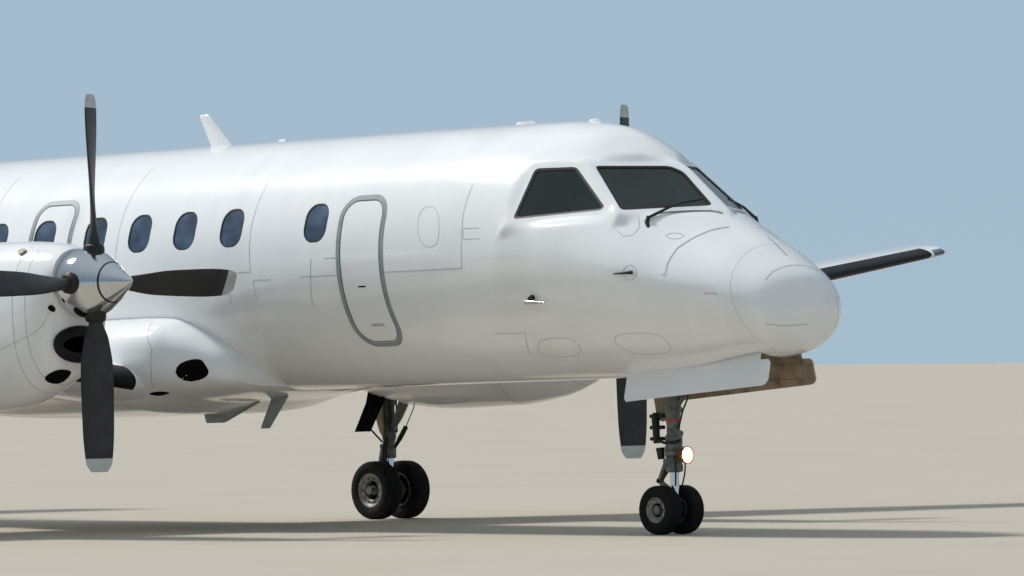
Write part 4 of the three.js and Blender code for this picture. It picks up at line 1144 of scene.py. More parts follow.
def nacelles():
    """Both nose cowls with their chin intakes, the nacelles behind them, and the exhaust pipes."""
    turn, angle = circle(48), circle(128)
    oval = np.stack([0 * turn, INTAKE["half_width"] * np.sin(turn), INTAKE["half_height"] * np.cos(turn)], -1)
    reach = np.array([0.1, 0, -0.1, -0.2, -INTAKE["depth"]])[:, None, None] * (1, 0, 0)
    size = np.array([1.1, 1.0, 0.93, 0.87, 0.8])[:, None, None]
    bore, wall, long = EXHAUST["radius"], 0.012, EXHAUST["length"]
    pipe = [(0.0, 0.0), (bore, 0.0), (bore, long - 0.01), (bore - 0.003, long), (bore - wall, long - 0.004),
        (bore - wall, long - EXHAUST["bore"]), (0.0, long - EXHAUST["bore"])]
    for word, side in SIDES:
        y, skin = side * NACELLE_Y, NACELLE_SKINS[side]
        stations = nacelle_stations(NACELLE[0, 0], COWL_END + 0.0015, 0.02)
        cowl = tube(skin.point(stations[:, None], angle), 35, "nose_cowl_skin_" + word)
        stations = nacelle_stations(COWL_END - 0.0015, NACELLE[-1, 0], 0.05)
        body = tube(skin.point(stations[:, None], angle), 35, "nacelle_skin_" + word)
        throat = tube((INTAKE["x"], y, INTAKE["z"]) + oval * size + reach)
        # painted shade: the intake's throat shows the flat black second finish, for the shade inside it
        paint_cut(throat, cowl)
        carve(cowl, throat, sharp=35)
        ex, ey, ez = EXHAUST["x"], y + side * EXHAUST["y"], EXHAUST["z"]
        groove = rod([(ex, ey, ez), (ex - 1.8, ey, ez)], EXHAUST["radius"] + 0.004, 40)
        bay = box((BAY["back"], y - BAY["half"], -2), (BAY["front"], y + BAY["half"], BAY["roof"]))
        # painted shade: the gear bay shows the flat black second finish, for the shade inside it
        paint_cut(bay, body)
        carve(body, groove, sharp=35)
        carve(body, bay, sharp=35)
        dress(cowl, ["white", "pit"], ["nose_cowl_" + word])
        dress(body, ["white", "pit"], ["nacelle_" + word])
        lip = np.stack([INTAKE["x"] + 0.02 + (oval[:, 2] > 0) * 0.012 * oval[:, 2] / INTAKE["half_height"],
            y + 1.02 * oval[:, 1], INTAKE["z"] + 0.9 * oval[:, 2]], -1)
        dress(hoop("intake_lip_" + word, lip, (0.05, 0.036)), "boot")
        made = turned(pipe, (ex, ey, ez), (-1, 0, 0), 64, name="exhaust_pipe_" + word)
        dress(made, "dark", ["exhaust_" + word])


def paint_cut(cutter, piece):
    """Marks a cutter's faces, so that what it cuts shows the piece's second material."""
    for one in (cutter, piece):
        while len(one.data.materials) < 2:
            one.data.materials.append(None)
    cutter.data.polygons.foreach_set("material_index", np.ones(len(cutter.data.polygons), np.int32))


def hoop(name, path, radii):
    """A closed ring along a closed path, its section an ellipse with a radius across and one along X."""
    along = unit(np.roll(path, -1, 0) - np.roll(path, 1, 0))
    ahead = unit(np.array([1.0, 0, 0]) - along[:, :1] * along)
    turn = circle(20)[:, None]
    rings = path[:, None] + radii[0] * np.cos(turn) * np.cross(along, ahead)[:, None]
    return ringed(rings + radii[1] * np.sin(turn) * ahead[:, None], 60, name)


# Propellers

# distance from the hub's middle, chord, thickness, pitch in degrees
BLADE_SECTIONS = np.array([
    (0.15, 0.11, 0.11, 60), (0.33, 0.12, 0.105, 58), (0.5, 0.225, 0.06, 53), (0.8, 0.29, 0.038, 43),
    (1.25, 0.285, 0.024, 31), (1.6, 0.24, 0.014, 24), (1.675, 0.15, 0.009, 23)])
BLADE_TIP = 1.555
# distance ahead of the blades, radius
SPINNER = np.array([
    (-0.195, 0.298), (-0.19, 0.302), (-0.1, 0.309), (-0.02, 0.303), (0.06, 0.279), (0.15, 0.233),
    (0.243, 0.178), (0.33, 0.125), (0.4, 0.082), (0.45, 0.05), (0.48, 0.028), (0.495, 0.012), (0.5, 0.0)])
SPINNER_RING = 0.243


def propellers():
    """Both propellers: polished spinners with a black ring, and four dark blades with light tips."""
    place = np.linspace(SPINNER[0, 0], SPINNER[-1, 0], 70)
    dome = np.stack([monotone(*SPINNER.T, place), place], -1)
    dome[-1, 0] = 0
    dome = np.concatenate([[(0, place[0])], dome])
    offsets = np.array([(-0.008, -0.004), (-0.008, 0.0012), (0.0, 0.0016), (0.008, 0.0012), (0.008, -0.004)])
    at = SPINNER_RING + offsets[:, 0]
    ring = np.stack([monotone(*SPINNER.T, at) + offsets[:, 1], at], -1)
    turns = [i * math.pi / 2 for i in range(4)]
    for word, side in SIDES:
        hub, body = np.array([PROP_X, side * NACELLE_Y, THRUST_Z]), "propeller_" + word
        made = turned(dome, hub, (1, 0, 0), 96, 40, name="spinner_dome_" + word)
        dress(made, "spun", ["spinner_" + word], body=body)
        made = turned(ring, hub, (1, 0, 0), 96, 50, True, "spinner_ring_" + word)
        dress(made, "rubber", body=body)
        made = joined("blades_" + word, [blade(hub, turn) for turn in turns])
        dress(made, "blade", ["propeller_blades_" + word], body=body)
        made = joined("blade_tips_" + word, [blade(hub, turn, True) for turn in turns])
        dress(made, "tip", body=body)
        made = joined("blade_cuffs_" + word, [cuff(hub, turn) for turn in turns])
        dress(made, "rubber", body=body)


def about_thrust(points, hub, angle):
    """Points about the hub turned round the thrust line."""
    x, y, z = np.moveaxis(points, -1, 0)
    cos, sin = math.cos(angle), math.sin(angle)
    return hub + np.stack([x, y * cos - z * sin, y * sin + z * cos], -1)


def blade(hub, angle, tip=False):
    """One blade, or its light tip: a loft of rounded sections that turn and thin towards the end."""
    table = BLADE_SECTIONS
    low, high = (BLADE_TIP, table[-1, 0]) if tip else (table[0, 0], BLADE_TIP)
    radius = np.linspace(low, high, 10 if tip else 60)
    chord, thick, pitch = [monotone(table[:, 0], column, radius)[:, None] for column in table.T[1:]]
    pitch, turn = np.radians(pitch), circle(36)
    across = chord / 2 * np.sin(turn)
    fat = thick / 2 * np.cos(turn) * (1 + 0.35 * np.sin(turn))
    x = across * np.sin(pitch) - fat * np.cos(pitch)
    y = -across * np.cos(pitch) - fat * np.sin(pitch)
    z = np.broadcast_to(radius[:, None], x.shape)
    return tube(about_thrust(np.stack([x, y, z], -1), hub, angle), 50)


def cuff(hub, angle):
    """The dark collar where a blade leaves the spinner."""
    profile = [(0.0, 0.24), (0.094, 0.24), (0.096, 0.3), (0.09, 0.33), (0.07, 0.345), (0.0, 0.35)]
    turn = circle(32)
    rings = np.array([np.stack([r * np.cos(turn), r * np.sin(turn), np.full(32, h)], -1) for r, h in profile])
    return tube(about_thrust(rings, hub, angle), 40)


# Landing gear

MAIN_X = -7.14
MAIN_AXLE = to_airframe(JOINTS["main_wheels_left_roll"]["pos_m"])[2]
NOSE_AXLE = to_airframe(JOINTS["nose_wheels_roll"]["pos_m"])[2]
NOSE_LEG_X = 0.05
NOSE_BAY = {"front": 1.4, "back": -0.26, "half": 0.285, "roof": -0.78}
# distance over the wheel's half width, radius over the tyre's
NOSE_TYRE = {"radius": 0.217, "width": 0.15, "track": 0.27, "rim": 0.108}
MAIN_TYRE = {"radius": 0.284, "width": 0.195, "track": 0.38, "rim": 0.158}


def tyre_profile(radius, width, rim):
    """A tyre's section as (radius, distance), half of it mirrored: bead, bulging side, grooved tread."""
    half = width / 2
    turn = np.linspace(-0.9, 1.25, 18)
    middle, rise = (radius + rim) / 2, (radius - rim) / 2
    side = np.stack([middle + rise * 0.97 * np.sin(turn), half * (0.55 + 0.45 * np.cos(turn) ** 0.75)], -1)
    side[0] = (rim, half * 0.84)
    tread = []
    for near, far in ((0.66, 0.58), (0.34, 0.27), (0.04, -0.04)):
        drop = radius * 0.018
        tread += [(radius - 0.004 * near, half * near), (radius - drop, half * (near - 0.015)),
            (radius - drop, half * (far + 0.015)), (radius - 0.004 * far, half * far)]
    tread = np.array(tread[:-2])
    upper = np.concatenate([side, tread])
    lower = upper[::-1] * (1, -1)
    return np.concatenate([upper, lower])


def wheel(name, centre, size, side, holes, body, node):
    """One wheel as three pieces: the tyre, its rim with a ring of holes and the hub cap, and the well, flat
    black as painted shade behind the holes.

    Together they stand for the frame's wheel.
    """
    axis, rim, half = (0, side, 0), size["rim"], size["width"] / 2
    inner = [(rim - 0.004, -half * 0.7), (rim - 0.004, half * 0.7)]
    profile = np.concatenate([tyre_profile(size["radius"], size["width"], rim), inner])
    tyre = turned(profile, centre, axis, 96, 30, True, name + "_tyre")
    ring = np.array([(0.6, 0.05), (0.6, 0.6), (0.65, 0.68), (0.85, 0.68), (0.9, 0.78), (1.05, 0.9),
        (1.06, 0.82), (0.97, 0.72), (0.965, -0.72), (1.06, -0.82), (1.05, -0.9), (0.93, -0.82),
        (0.9, -0.02)])
    disc = turned(ring * (rim, half), centre, axis, 72, 30, True)
    bores = []
    for turn in circle(holes):
        at = np.array(centre) + 0.75 * rim * np.array([math.cos(turn), 0, math.sin(turn)])
        bores.append(rod([at - (0, half, 0), at + (0, half, 0)], 0.07 * rim))
    carve(disc, joined("holes", bores))
    dish = np.array([(0.041 / rim, -0.1), (0.93, -0.1), (0.93, 0), (0.62, 0.02), (0.6, 0.12),
        (0.041 / rim, 0.12)])
    well = turned(dish * (rim, half), centre, axis, 48, 30, True, name + "_well")
    cap = np.array([(0, 0.12), (0.3, 0.12), (0.29, 0.55), (0.24, 0.68), (0.1, 0.72), (0, 0.72)])
    wheel_disc = joined(name + "_wheel", [disc, turned(cap * (rim, half), centre, axis, 40)])
    dress(tyre, "tyre", [node], body=body)
    dress(wheel_disc, "hub", body=body)
    # painted shade: the well is flat black, for the shade inside the wheel
    dress(well, "pit", body=body)


def wheels():
    """All six wheels."""
    for word, side in SIDES:
        for place, away in (("inner", -1), ("outer", 1)):
            centre = (MAIN_X, side * (NACELLE_Y + away * MAIN_TYRE["track"] / 2), MAIN_AXLE)
            wheel(f"main_{word}_{place}", centre, MAIN_TYRE, side * away, 10, "main_wheels_" + word,
                f"main_wheel_{word}_{place}")
        centre = (0, side * NOSE_TYRE["track"] / 2, NOSE_AXLE)
        wheel("nose_" + word, centre, NOSE_TYRE, side, 8, "nose_wheels", "nose_wheel_" + word)


def link(ends, wide, thick):
    """One arm of a scissor link: two tapered plates that meet at the outer pin, and two round eyes."""
    (x0, z0), (x1, z1), y = *ends[:2], ends[2]
    along = np.array([x1 - x0, 0, z1 - z0])
    out = unit(np.array([along[2], 0, -along[0]]))
    a, b = np.array([x0, y, z0]), np.array([x1, y, z1])
    pieces = []
    for sign in (-1, 1):
        share = np.linspace(0, 1, 8)
        middle = a + (b - a) * share[:, None] + np.array([0, sign, 0]) * (wide * (1 - 0.72 * share))[:, None]
        tall = thick * (1 - 0.35 * share)[:, None]
        deep = np.array([0, 0.012, 0])
        rings = np.stack([middle - out * tall - deep, middle - out * tall + deep,
            middle + out * tall + deep, middle + out * tall - deep], 1)
        pieces.append(tube(rings, 40))
    for middle, reach, size in ((a, wide + 0.02, thick * 1.15), (b, wide * 0.28 + 0.02, thick * 0.95)):
        pieces.append(rod([middle - (0, reach, 0), middle + (0, reach, 0)], size, 24))
    return pieces


def main_gear():
    """Both main legs: stepped strut, piston, scissor links, braces, axle, brakes, tan plate and hoses."""
    for word, side in SIDES:
        y, x = side * NACELLE_Y, MAIN_X
        top = BAY["roof"] - 0.0003
        strut = turned([(0, top), (0.055, top), (0.062, top - 0.02), (0.062, -1.2), (0.072, -1.21),
            (0.072, -1.27), (0.06, -1.29), (0.058, -1.5), (0.07, -1.52), (0.07, -1.6), (0.06, -1.63),
            (0.066, -1.68), (0.066, -1.79), (0.05, -1.8), (0, -1.8)], (x, y, 0), (0, 0, 1), 48)
        knuckle = turned([(0, -0.09), (0.055, -0.085), (0.06, -0.03), (0.06, 0.05), (0.052, 0.1),
            (0, 0.11)], (x, y, MAIN_AXLE), (0, 0, 1), 40)
        axle = rod([(x, y + d, MAIN_AXLE) for d in (-0.29, -0.06, 0.06, 0.29)], 0.0395, 32)
        brakes = [turned([(0, 0.03), (0.1, 0.03), (0.108, 0.036), (0.108, 0.05), (0.0, 0.05)],
            (x, y + d * 0.04, MAIN_AXLE), (0, d, 0), 48) for d in (-1, 1)]
        foot = (BAY["front"] - 0.07, top - 0.06)
        brace = rod([(x + 0.02, y, -1.56), (x + 0.1, y, -1.44), (x + 0.12, y, -1.41),
            (foot[0], y, foot[1])], [0.026, 0.026, 0.036, 0.036], 24)
        beam = rod([(foot[0], y + d, foot[1]) for d in (-0.19, 0.19)], 0.036, 24)
        side_brace = rod([(x + 0.06, y, -1.5), (x + 0.18, y - side * 0.03, -1.38),
            (-6.83, y - side * 0.05, -1.22)], [0.03, 0.045, 0.045], 24)
        lugs = [rod([(x, y - 0.07, z), (x, y + 0.07, z)], 0.03, 24) for z in (-1.68, -1.56, -2.0)]
        links = link(((x - 0.03, -1.68), (x - 0.125, -1.85), y), 0.06, 0.02)
        links += link(((x - 0.03, -2.0), (x - 0.125, -1.86), y), 0.06, 0.02)
        leg = [strut, knuckle, axle, brace, side_brace, beam] + lugs + links + brakes
        leg = joined(f"main_leg_frame_{word}", leg)
        dress(leg, "gear", ["main_leg_" + word])
        piston = rod([(x, y, MAIN_AXLE + 0.05), (x, y, -1.8)], 0.046, 40, name=f"main_piston_{word}")
        dress(piston, "chrome")
        near = y - side * 0.085
        outline = [(-7.28, -1.1), (-7.138, -1.1), (-7.125, -1.47), (-7.13, -1.6), (-7.18, -1.54),
            (-7.278, -1.27)]
        plate = prism(outline, near - 0.006, near + 0.008, name=f"main_leg_plate_{word}")
        dress(plate, "primer")
        jack = [(-7.06, y, -1.695), (-6.99, y, -1.61), (-6.9, y, -1.5)]
        hoses = [
            rod(jack, [0.012, 0.024, 0.024], 16),
            rod([jack[-1], (-6.78, y, -1.31), (-6.77, y, -1.25)], 0.005, 8),
            rod([(-7.1, y - side * 0.36, -1.45), (x - 0.04, y - side * 0.055, -1.64)], 0.009, 10)]
        for d in (-0.12, -0.09):
            hoses.append(rod([(x + 0.03, y + side * d * 0.6, -1.6), (x + 0.04, y + side * d, -1.7),
                (x + 0.04, y + side * d, -1.9), (x + 0.02, y + side * d * 0.5, -2.02)], 0.012, 10))
        for d in (-1, 1):
            hoses.append(rod([(x + 0.06, y + d * 0.05, z) for z in (-1.55, -1.3, -1.05)], 0.008, 10))
        dress(joined(f"main_leg_hoses_{word}", hoses), "rubber")


def nose_gear():
    """The nose leg: fixed strut with its brace, and the steered part with links, axle and taxi light."""
    x, top = NOSE_LEG_X, NOSE_BAY["roof"] - 0.0003
    strut = turned([(0, top), (0.06, top), (0.078, top - 0.03), (0.078, -1.36), (0.064, -1.52),
        (0.064, -1.56), (0.06, -1.57), (0.06, -1.66), (0.076, -1.68), (0.078, -1.75), (0.07, -1.76),
        (0, -1.76)], (x, 0, 0), (0, 0, 1), 48)
    brace = rod([(x + 0.02, 0, -1.45), (0.3, 0, -1.22), (0.33, 0, -1.19), (0.64, 0, top - 0.05)],
        [0.024, 0.024, 0.034, 0.034], 24)
    beam = rod([(0.64, -0.2, top - 0.05), (0.64, 0.2, top - 0.05)], 0.034, 24)
    trunnion = rod([(x, -0.23, -0.95), (x, 0.23, -0.95)], 0.045, 28)
    pins = [rod([(x + 0.02, -0.075, z), (x + 0.02, 0.075, z)], 0.028, 20) for z in (-1.45, -1.66)]
    fixed = joined("nose_leg_frame", [strut, brace, beam, trunnion] + pins)
    dress(fixed, "gear", ["nose_leg"])
    collar = turned([(0, -1.761), (0.076, -1.761), (0.08, -1.767), (0.08, -1.86), (0.07, -1.87),
        (0.07, -1.93), (0.076, -1.94), (0.076, -1.99), (0.045, -2.0), (0, -2.0)], (x, 0, 0), (0, 0, 1), 48)
    foot = turned([(0, -0.06), (0.045, -0.055), (0.055, -0.02), (0.055, 0.03), (0.046, 0.07), (0, 0.08)],
        (x, 0, NOSE_AXLE), (0, 0, 1), 40)
    fork = rod([(x + 0.015, 0, NOSE_AXLE), (-0.03, 0, NOSE_AXLE)], 0.045, 24)
    axle = rod([(0, -0.19, NOSE_AXLE), (0, 0.19, NOSE_AXLE)], 0.0395, 32)
    links = link(((x - 0.06, -1.9), (x - 0.18, -2.07), 0), 0.035, 0.022)
    links += link(((x - 0.03, -2.19), (x - 0.18, -2.075), 0), 0.035, 0.018)
    jacks = [rod([(x + 0.1, d * 0.02, -1.83), (x + 0.09, d * 0.1, -1.83), (x + 0.02, d * 0.12, -1.83)],
        0.022, 16) for d in (-1, 1)]
    bracket_arm = rod([(x + 0.05, 0, -1.84), (x + 0.09, 0, -1.85)], 0.03, 16)
    steered = joined("nose_leg_steered_frame", [collar, foot, fork, axle, bracket_arm] + links + jacks)
    dress(steered, "gear", ["nose_leg_steered"], body="nose_steering")
    piston = rod([(x, 0, NOSE_AXLE + 0.05), (x, 0, -1.99)], 0.039, 40, name="nose_piston")
    dress(piston, "chrome", body="nose_steering")
    lamp_at = (x + 0.155, 0, -1.85)
    can = turned([(0, -0.085), (0.04, -0.08), (0.066, -0.03), (0.077, 0.0), (0.077, 0.014), (0.07, 0.014),
        (0.067, 0.004), (0, 0.004)], lamp_at, (1, 0, 0), 40, name="taxi_light_can")
    dress(can, "amber", body="nose_steering")
    lamp = turned([(0, 0.006), (0.067, 0.006), (0.06, 0.015), (0.036, 0.023), (0, 0.026)], lamp_at,
        (1, 0, 0), 40, name="taxi_light_lamp")
    dress(lamp, "lamp", body="nose_steering")
    cable = [(-0.1, -0.03, -1.7), (-0.06, -0.09, -1.715), (0.04, -0.1, -1.74), (0.12, -0.06, -1.735),
             (0.13, 0.0, -1.72)]
    fixed_hoses = [
        rod([(0.27, 0, -1.25), (0.226, 0, -1.367), (0.17, 0, -1.46), (x + 0.062, 0, -1.62)], 0.008, 10),
        rod(cable, 0.013, 12),
        rod([(-0.12, -0.05, -1.47), (-0.12, -0.05, -1.5), (-0.11, -0.05, -1.74)], [0.022, 0.036, 0.03], 16)]
    fixed_hoses += [rod([(-0.02, -0.045, z), (-0.18, -0.05, z)], 0.017, 10) for z in (-1.5, -1.6, -1.7)]
    dress(joined("nose_leg_lines", fixed_hoses), "rubber")
    hoses = [rod([(-0.08, -0.04, -1.78), (-0.07, -0.04, -1.88)], [0.04, 0.03], 16)]
    share = np.linspace(0, 1, 24)[:, None]
    for d in (-1, 1):
        a, b = np.array([x + 0.05, d * 0.06, -1.8]), np.array([x + 0.045, d * 0.04, -2.12])
        path = (1 - share) ** 2 * a + 2 * share * (1 - share) * ((a + b) / 2
            + (0.05, d * 0.02, 0)) + share ** 2 * b
        hoses.append(rod(path, 0.007, 10))
    dress(joined("nose_leg_hoses", hoses), "rubber", body="nose_steering")
    outline = [(-0.2, -1.1), (-0.02, -1.1), (-0.01, -1.54), (-0.06, -1.55), (-0.12, -1.52)]
    plate = prism(outline, -0.03, -0.018, name="nose_leg_plate")
    dress(plate, "primer")
    profile = [(0, -1.555), (0.068, -1.555), (0.068, -1.527), (0, -1.527)]
    dress(turned(profile, (x, 0, 0), (0, 0, 1), 48, name="nose_leg_band"), "red")


def leaned(piece, share, height, side):
    """Moves a piece's points outward by a share of their distance below a height."""
    points = to_airframe(vertices(piece))
    points[:, 1] += side * share * (height - points[:, 2])
    piece.data.vertices.foreach_set("co", to_row(points).ravel())
    return piece


def gear_doors():
    """The main and nose gear doors: thin sheets bent or leaning outward, with ribbed insides, tan but on the
    inner main doors, whose black sheets and dark ribs are painted shade.
    """
    edge, thick = BAY["half"] - 0.0003, 0.014
    for word, side in SIDES:
        # painted shade: the inner doors hang in shade under the nacelle, so their sheets are flat black and
        # their ribs dark, where the outer doors are white with tan ribs
        for place, away, foot, sheet_finish, rib_finish in (("inner", -1, (0.425, -1.535), "pit", "dark"),
                ("outer", 1, (0.235, -1.26), "white", "primer")):
            y, out = side * NACELLE_Y, side * away
            bend = np.array([(edge, -1.08), (edge, -1.19), (edge + 0.004, -1.22), foot])
            lining = bend[::-1] - (thick * 0.5, 0)
            sheet = prism(np.concatenate([bend, lining]) * (out, 1) + (y, 0), -7.18, -6.96, 0,
                f"main_gear_door_sheet_{word}_{place}")
            dress(sheet, sheet_finish, [f"main_gear_door_{word}_{place}"])
            rib = np.concatenate([bend - (thick * 0.45, 0), (bend - (thick, 0))[::-1]]) * (out, 1) + (y, 0)
            ribs = [prism(rib, x - 0.01, x + 0.01, 0) for x in (-7.165, -7.07, -6.975)]
            dress(joined(f"main_gear_door_ribs_{word}_{place}", ribs), rib_finish)
        outline = np.array([(-0.22, -1.34), (-0.19, -1.368), (1.43, -1.268), (1.48, -1.255), (1.51, -1.22),
            (1.51, -1.07), (1.48, -1.04), (1.385, -1.04), (1.385, -0.9), (-0.2, -1.0), (-0.22, -1.02)])
        sheet = prism(outline, side * 0.2775, side * 0.2847, name="nose_gear_door_sheet_" + word)
        inside = [prism(outline * (0.995, 1) + (0.003, 0.001), side * 0.274, side * 0.277)]
        near, far = sorted((side * 0.266, side * 0.275))
        for x in np.linspace(-0.15, 1.36, 6):
            inside.append(box((x - 0.012, near, -1.25), (x + 0.012, far, -1.05)))
        inside += [box((-0.18, near, z - 0.012), (1.46, far, z + 0.012)) for z in (-1.23, -1.1)]
        inside = joined("nose_gear_door_ribs_" + word, inside)
        dress(leaned(sheet, 0.22, -1.112, side), "white", ["nose_gear_door_" + word])
        dress(leaned(inside, 0.22, -1.112, side), "primer")


# Inside the flight deck


def cushion(name, middle, size, crown, seams=0):
    """A padded block: a rounded box whose six sides swell by crown, with sewn channels across its width.

    Points of a sphere are pushed out to a superellipsoid of power 4, then scaled to the size, and each
    seam presses a shallow groove along a line of constant height.
    """
    u = np.linspace(-math.pi / 2, math.pi / 2, 40)[:, None]
    v = circle(72)
    k = 0.42
    x = power(np.cos(u), k) * power(np.cos(v), k)
    y = power(np.cos(u), k) * power(np.sin(v), k)
    z = power(np.sin(u), k) * np.ones_like(v)
    points = np.stack(np.broadcast_arrays(x, y, z), -1)
    points = points * (1 - crown * 0.35 + crown * (1 - np.abs(points[..., ::-1]) ** 2) * 0.35)
    longest = int(np.argmax(size))
    if seams:
        at = np.linspace(-0.6, 0.6, seams)
        groove = np.exp(-((points[..., longest, None] - at) / 0.03) ** 2).sum(-1)
        thin = int(np.argmin(size))
        points[..., thin] *= 1 - 0.16 * groove
    return tube(np.array(middle) + points * np.array(size) / 2, 60, name=name)


def seats():
    """Both pilots' seats: a metal pedestal, and padded seat, back and headrest."""
    for word, side in SIDES:
        y = side * 0.43
        rails = (y - 0.14, y + 0.14)
        base = [box((-0.83, rail - 0.02, -0.4197), (-0.47, rail + 0.02, -0.38)) for rail in rails]
        base.append(rod([(-0.65, y, -0.39), (-0.65, y, -0.17)], [0.09, 0.06], 24))
        base.append(prism(rounded(0.42, 0.42, 0.04) + (-0.65, y), -0.17, -0.152, axis=2))
        base = joined("pilot_seat_pedestal_" + word, base)
        dress(base, "trim", ["pilot_seat_" + word])
        pads = (("seat", (-0.65, y, -0.085), (0.46, 0.46, 0.13), 0.25, 3),
            ("back", (-0.92, y, 0.23), (0.12, 0.44, 0.58), 0.25, 3),
            ("headrest", (-0.925, y, 0.592), (0.09, 0.26, 0.136), 0.2, 0))
        for part, middle, size, crown, seams in pads:
            pad = cushion(f"pilot_seat_{part}_{word}", middle, size, crown, seams)
            dress(pad, "cloth")


def instrument_panel():
    """The glareshield, the panel with dark displays, the pedestal with levers, and two control wheels."""
    sweep = np.linspace(-1, 1, 40)
    low = np.stack([0.3 - 0.16 * sweep ** 4, 0.64 * sweep, 0.168 - 0.012 * sweep ** 2], -1)
    back = np.stack([-0.05 - 0.01 * sweep ** 2, 0.62 * sweep, 0.17 - 0.02 * sweep ** 2], -1)
    lift = np.array([0, 0, 0.04])
    rings = np.stack([low, low + lift, (low + back) / 2 + lift * 1.15, back + lift * 0.8, back,
        (low + back) / 2], 1)
    shield = tube(rings, 50)
    board = prism(rounded(1.38, 0.58, 0.05) + (0, -0.12), 0.08, 0.19, axis=0)
    pedestal = prism([(-0.5, -0.4195), (0.08, -0.4195), (0.08, -0.1), (-0.1, -0.08), (-0.46, -0.2),
        (-0.5, -0.24)], -0.105, 0.105)
    trim = [shield, board, pedestal]
    for y in (-0.43, 0.43):
        trim.append(rod([(0.07, y, -0.3), (-0.08, y, -0.24), (-0.16, y, -0.1)], 0.016, 12))
        turn = np.linspace(-2.4, 2.4, 24)
        rim = np.stack([np.full(24, -0.16), y + 0.13 * np.sin(turn), -0.03 - 0.1 * np.cos(turn)], -1)
        trim.append(rod(rim, 0.012, 12))
    for k in range(4):
        y = -0.06 + 0.04 * k
        trim.append(rod([(-0.2, y, -0.11), (-0.23, y, -0.02)], 0.006, 8))
    dress(joined("instrument_panel_trim", trim), "trim", ["instrument_panel"])
    screens = [prism(rounded(0.17, 0.15, 0.01, 4) + (y, 0.0), 0.072, 0.079, axis=0)
               for y in (-0.52, -0.3, -0.1, 0.1, 0.3, 0.52)]
    dress(joined("instrument_screens", screens), "cabin_glass")


# Small fittings


def aerial(root, tip, low, high, thick):
    """A swept blade with a slim lens as its section: root and tip are (front x, back x) at both heights."""
    turn = circle(28)
    share = np.concatenate([np.linspace(0, 0.9, 8), [0.96, 0.985, 1.0]])
    squeeze = np.concatenate([np.ones(8), [0.85, 0.6, 0.15]])
    rings = []
    for s, q in zip(share, squeeze):
        front, back = root[0] + (tip[0] - root[0]) * s, root[1] + (tip[1] - root[1]) * s
        middle, half = (front + back) / 2, (front - back) / 2
        x = middle + half * np.cos(turn) * (0.9 + 0.1 * q)
        y = thick / 2 * np.sin(turn) * q * (1 + 0.3 * np.cos(turn))
        rings.append(np.stack([x, y, np.full(28, low + (high - low) * s)], -1))
    return tube(rings, 50)


def aerials():
    """Blade aerials and low fins on top, and the blade and fin under the belly."""
    top = section(np.array([-5.75, -4.92, -1.7, -0.83]))[0]
    white = [aerial((-5.6, -5.9), (-5.94, -6.07), top[0] - 0.02, 1.46, 0.03),
        aerial((-4.84, -5.0), (-4.88, -4.97), top[1] - 0.03, 1.176, 0.03),
        aerial((-1.52, -1.9), (-1.6, -1.8), top[2] - 0.03, 1.18, 0.05),
        aerial((-0.72, -0.95), (-0.78, -0.88), top[3] - 0.03, 1.16, 0.04)]
    dress(joined("top_aerials", white), "white")
    grey = [aerial((-4.93, -5.16), (-5.2, -5.33), -1.2, -1.497, 0.022),
        aerial((-5.32, -6.14), (-5.82, -6.08), -1.25, -1.43, 0.05)]
    dress(joined("belly_aerials", grey), "door_grey")


def lamps():
    """The beacon and the lenses at the wing tips."""
    beacon = turned([(0, 0), (0.05, 0), (0.05, 0.014), (0.044, 0.03), (0.028, 0.043), (0.01, 0.048),
        (0, 0.049)], (-9.6, 0, RADIUS - 0.006), (0, 0, 1), 40, name="beacon")
    dress(beacon, "red")
    inner, outer = HALF_SPAN - 0.27, HALF_SPAN - 0.1
    lenses = [boot(WING, inner, outer, (0.05, 0.05), side, 0.003, 10, 17, True) for side in (1, -1)]
    dress(joined("wing_tip_lenses", lenses), "cabin_glass")


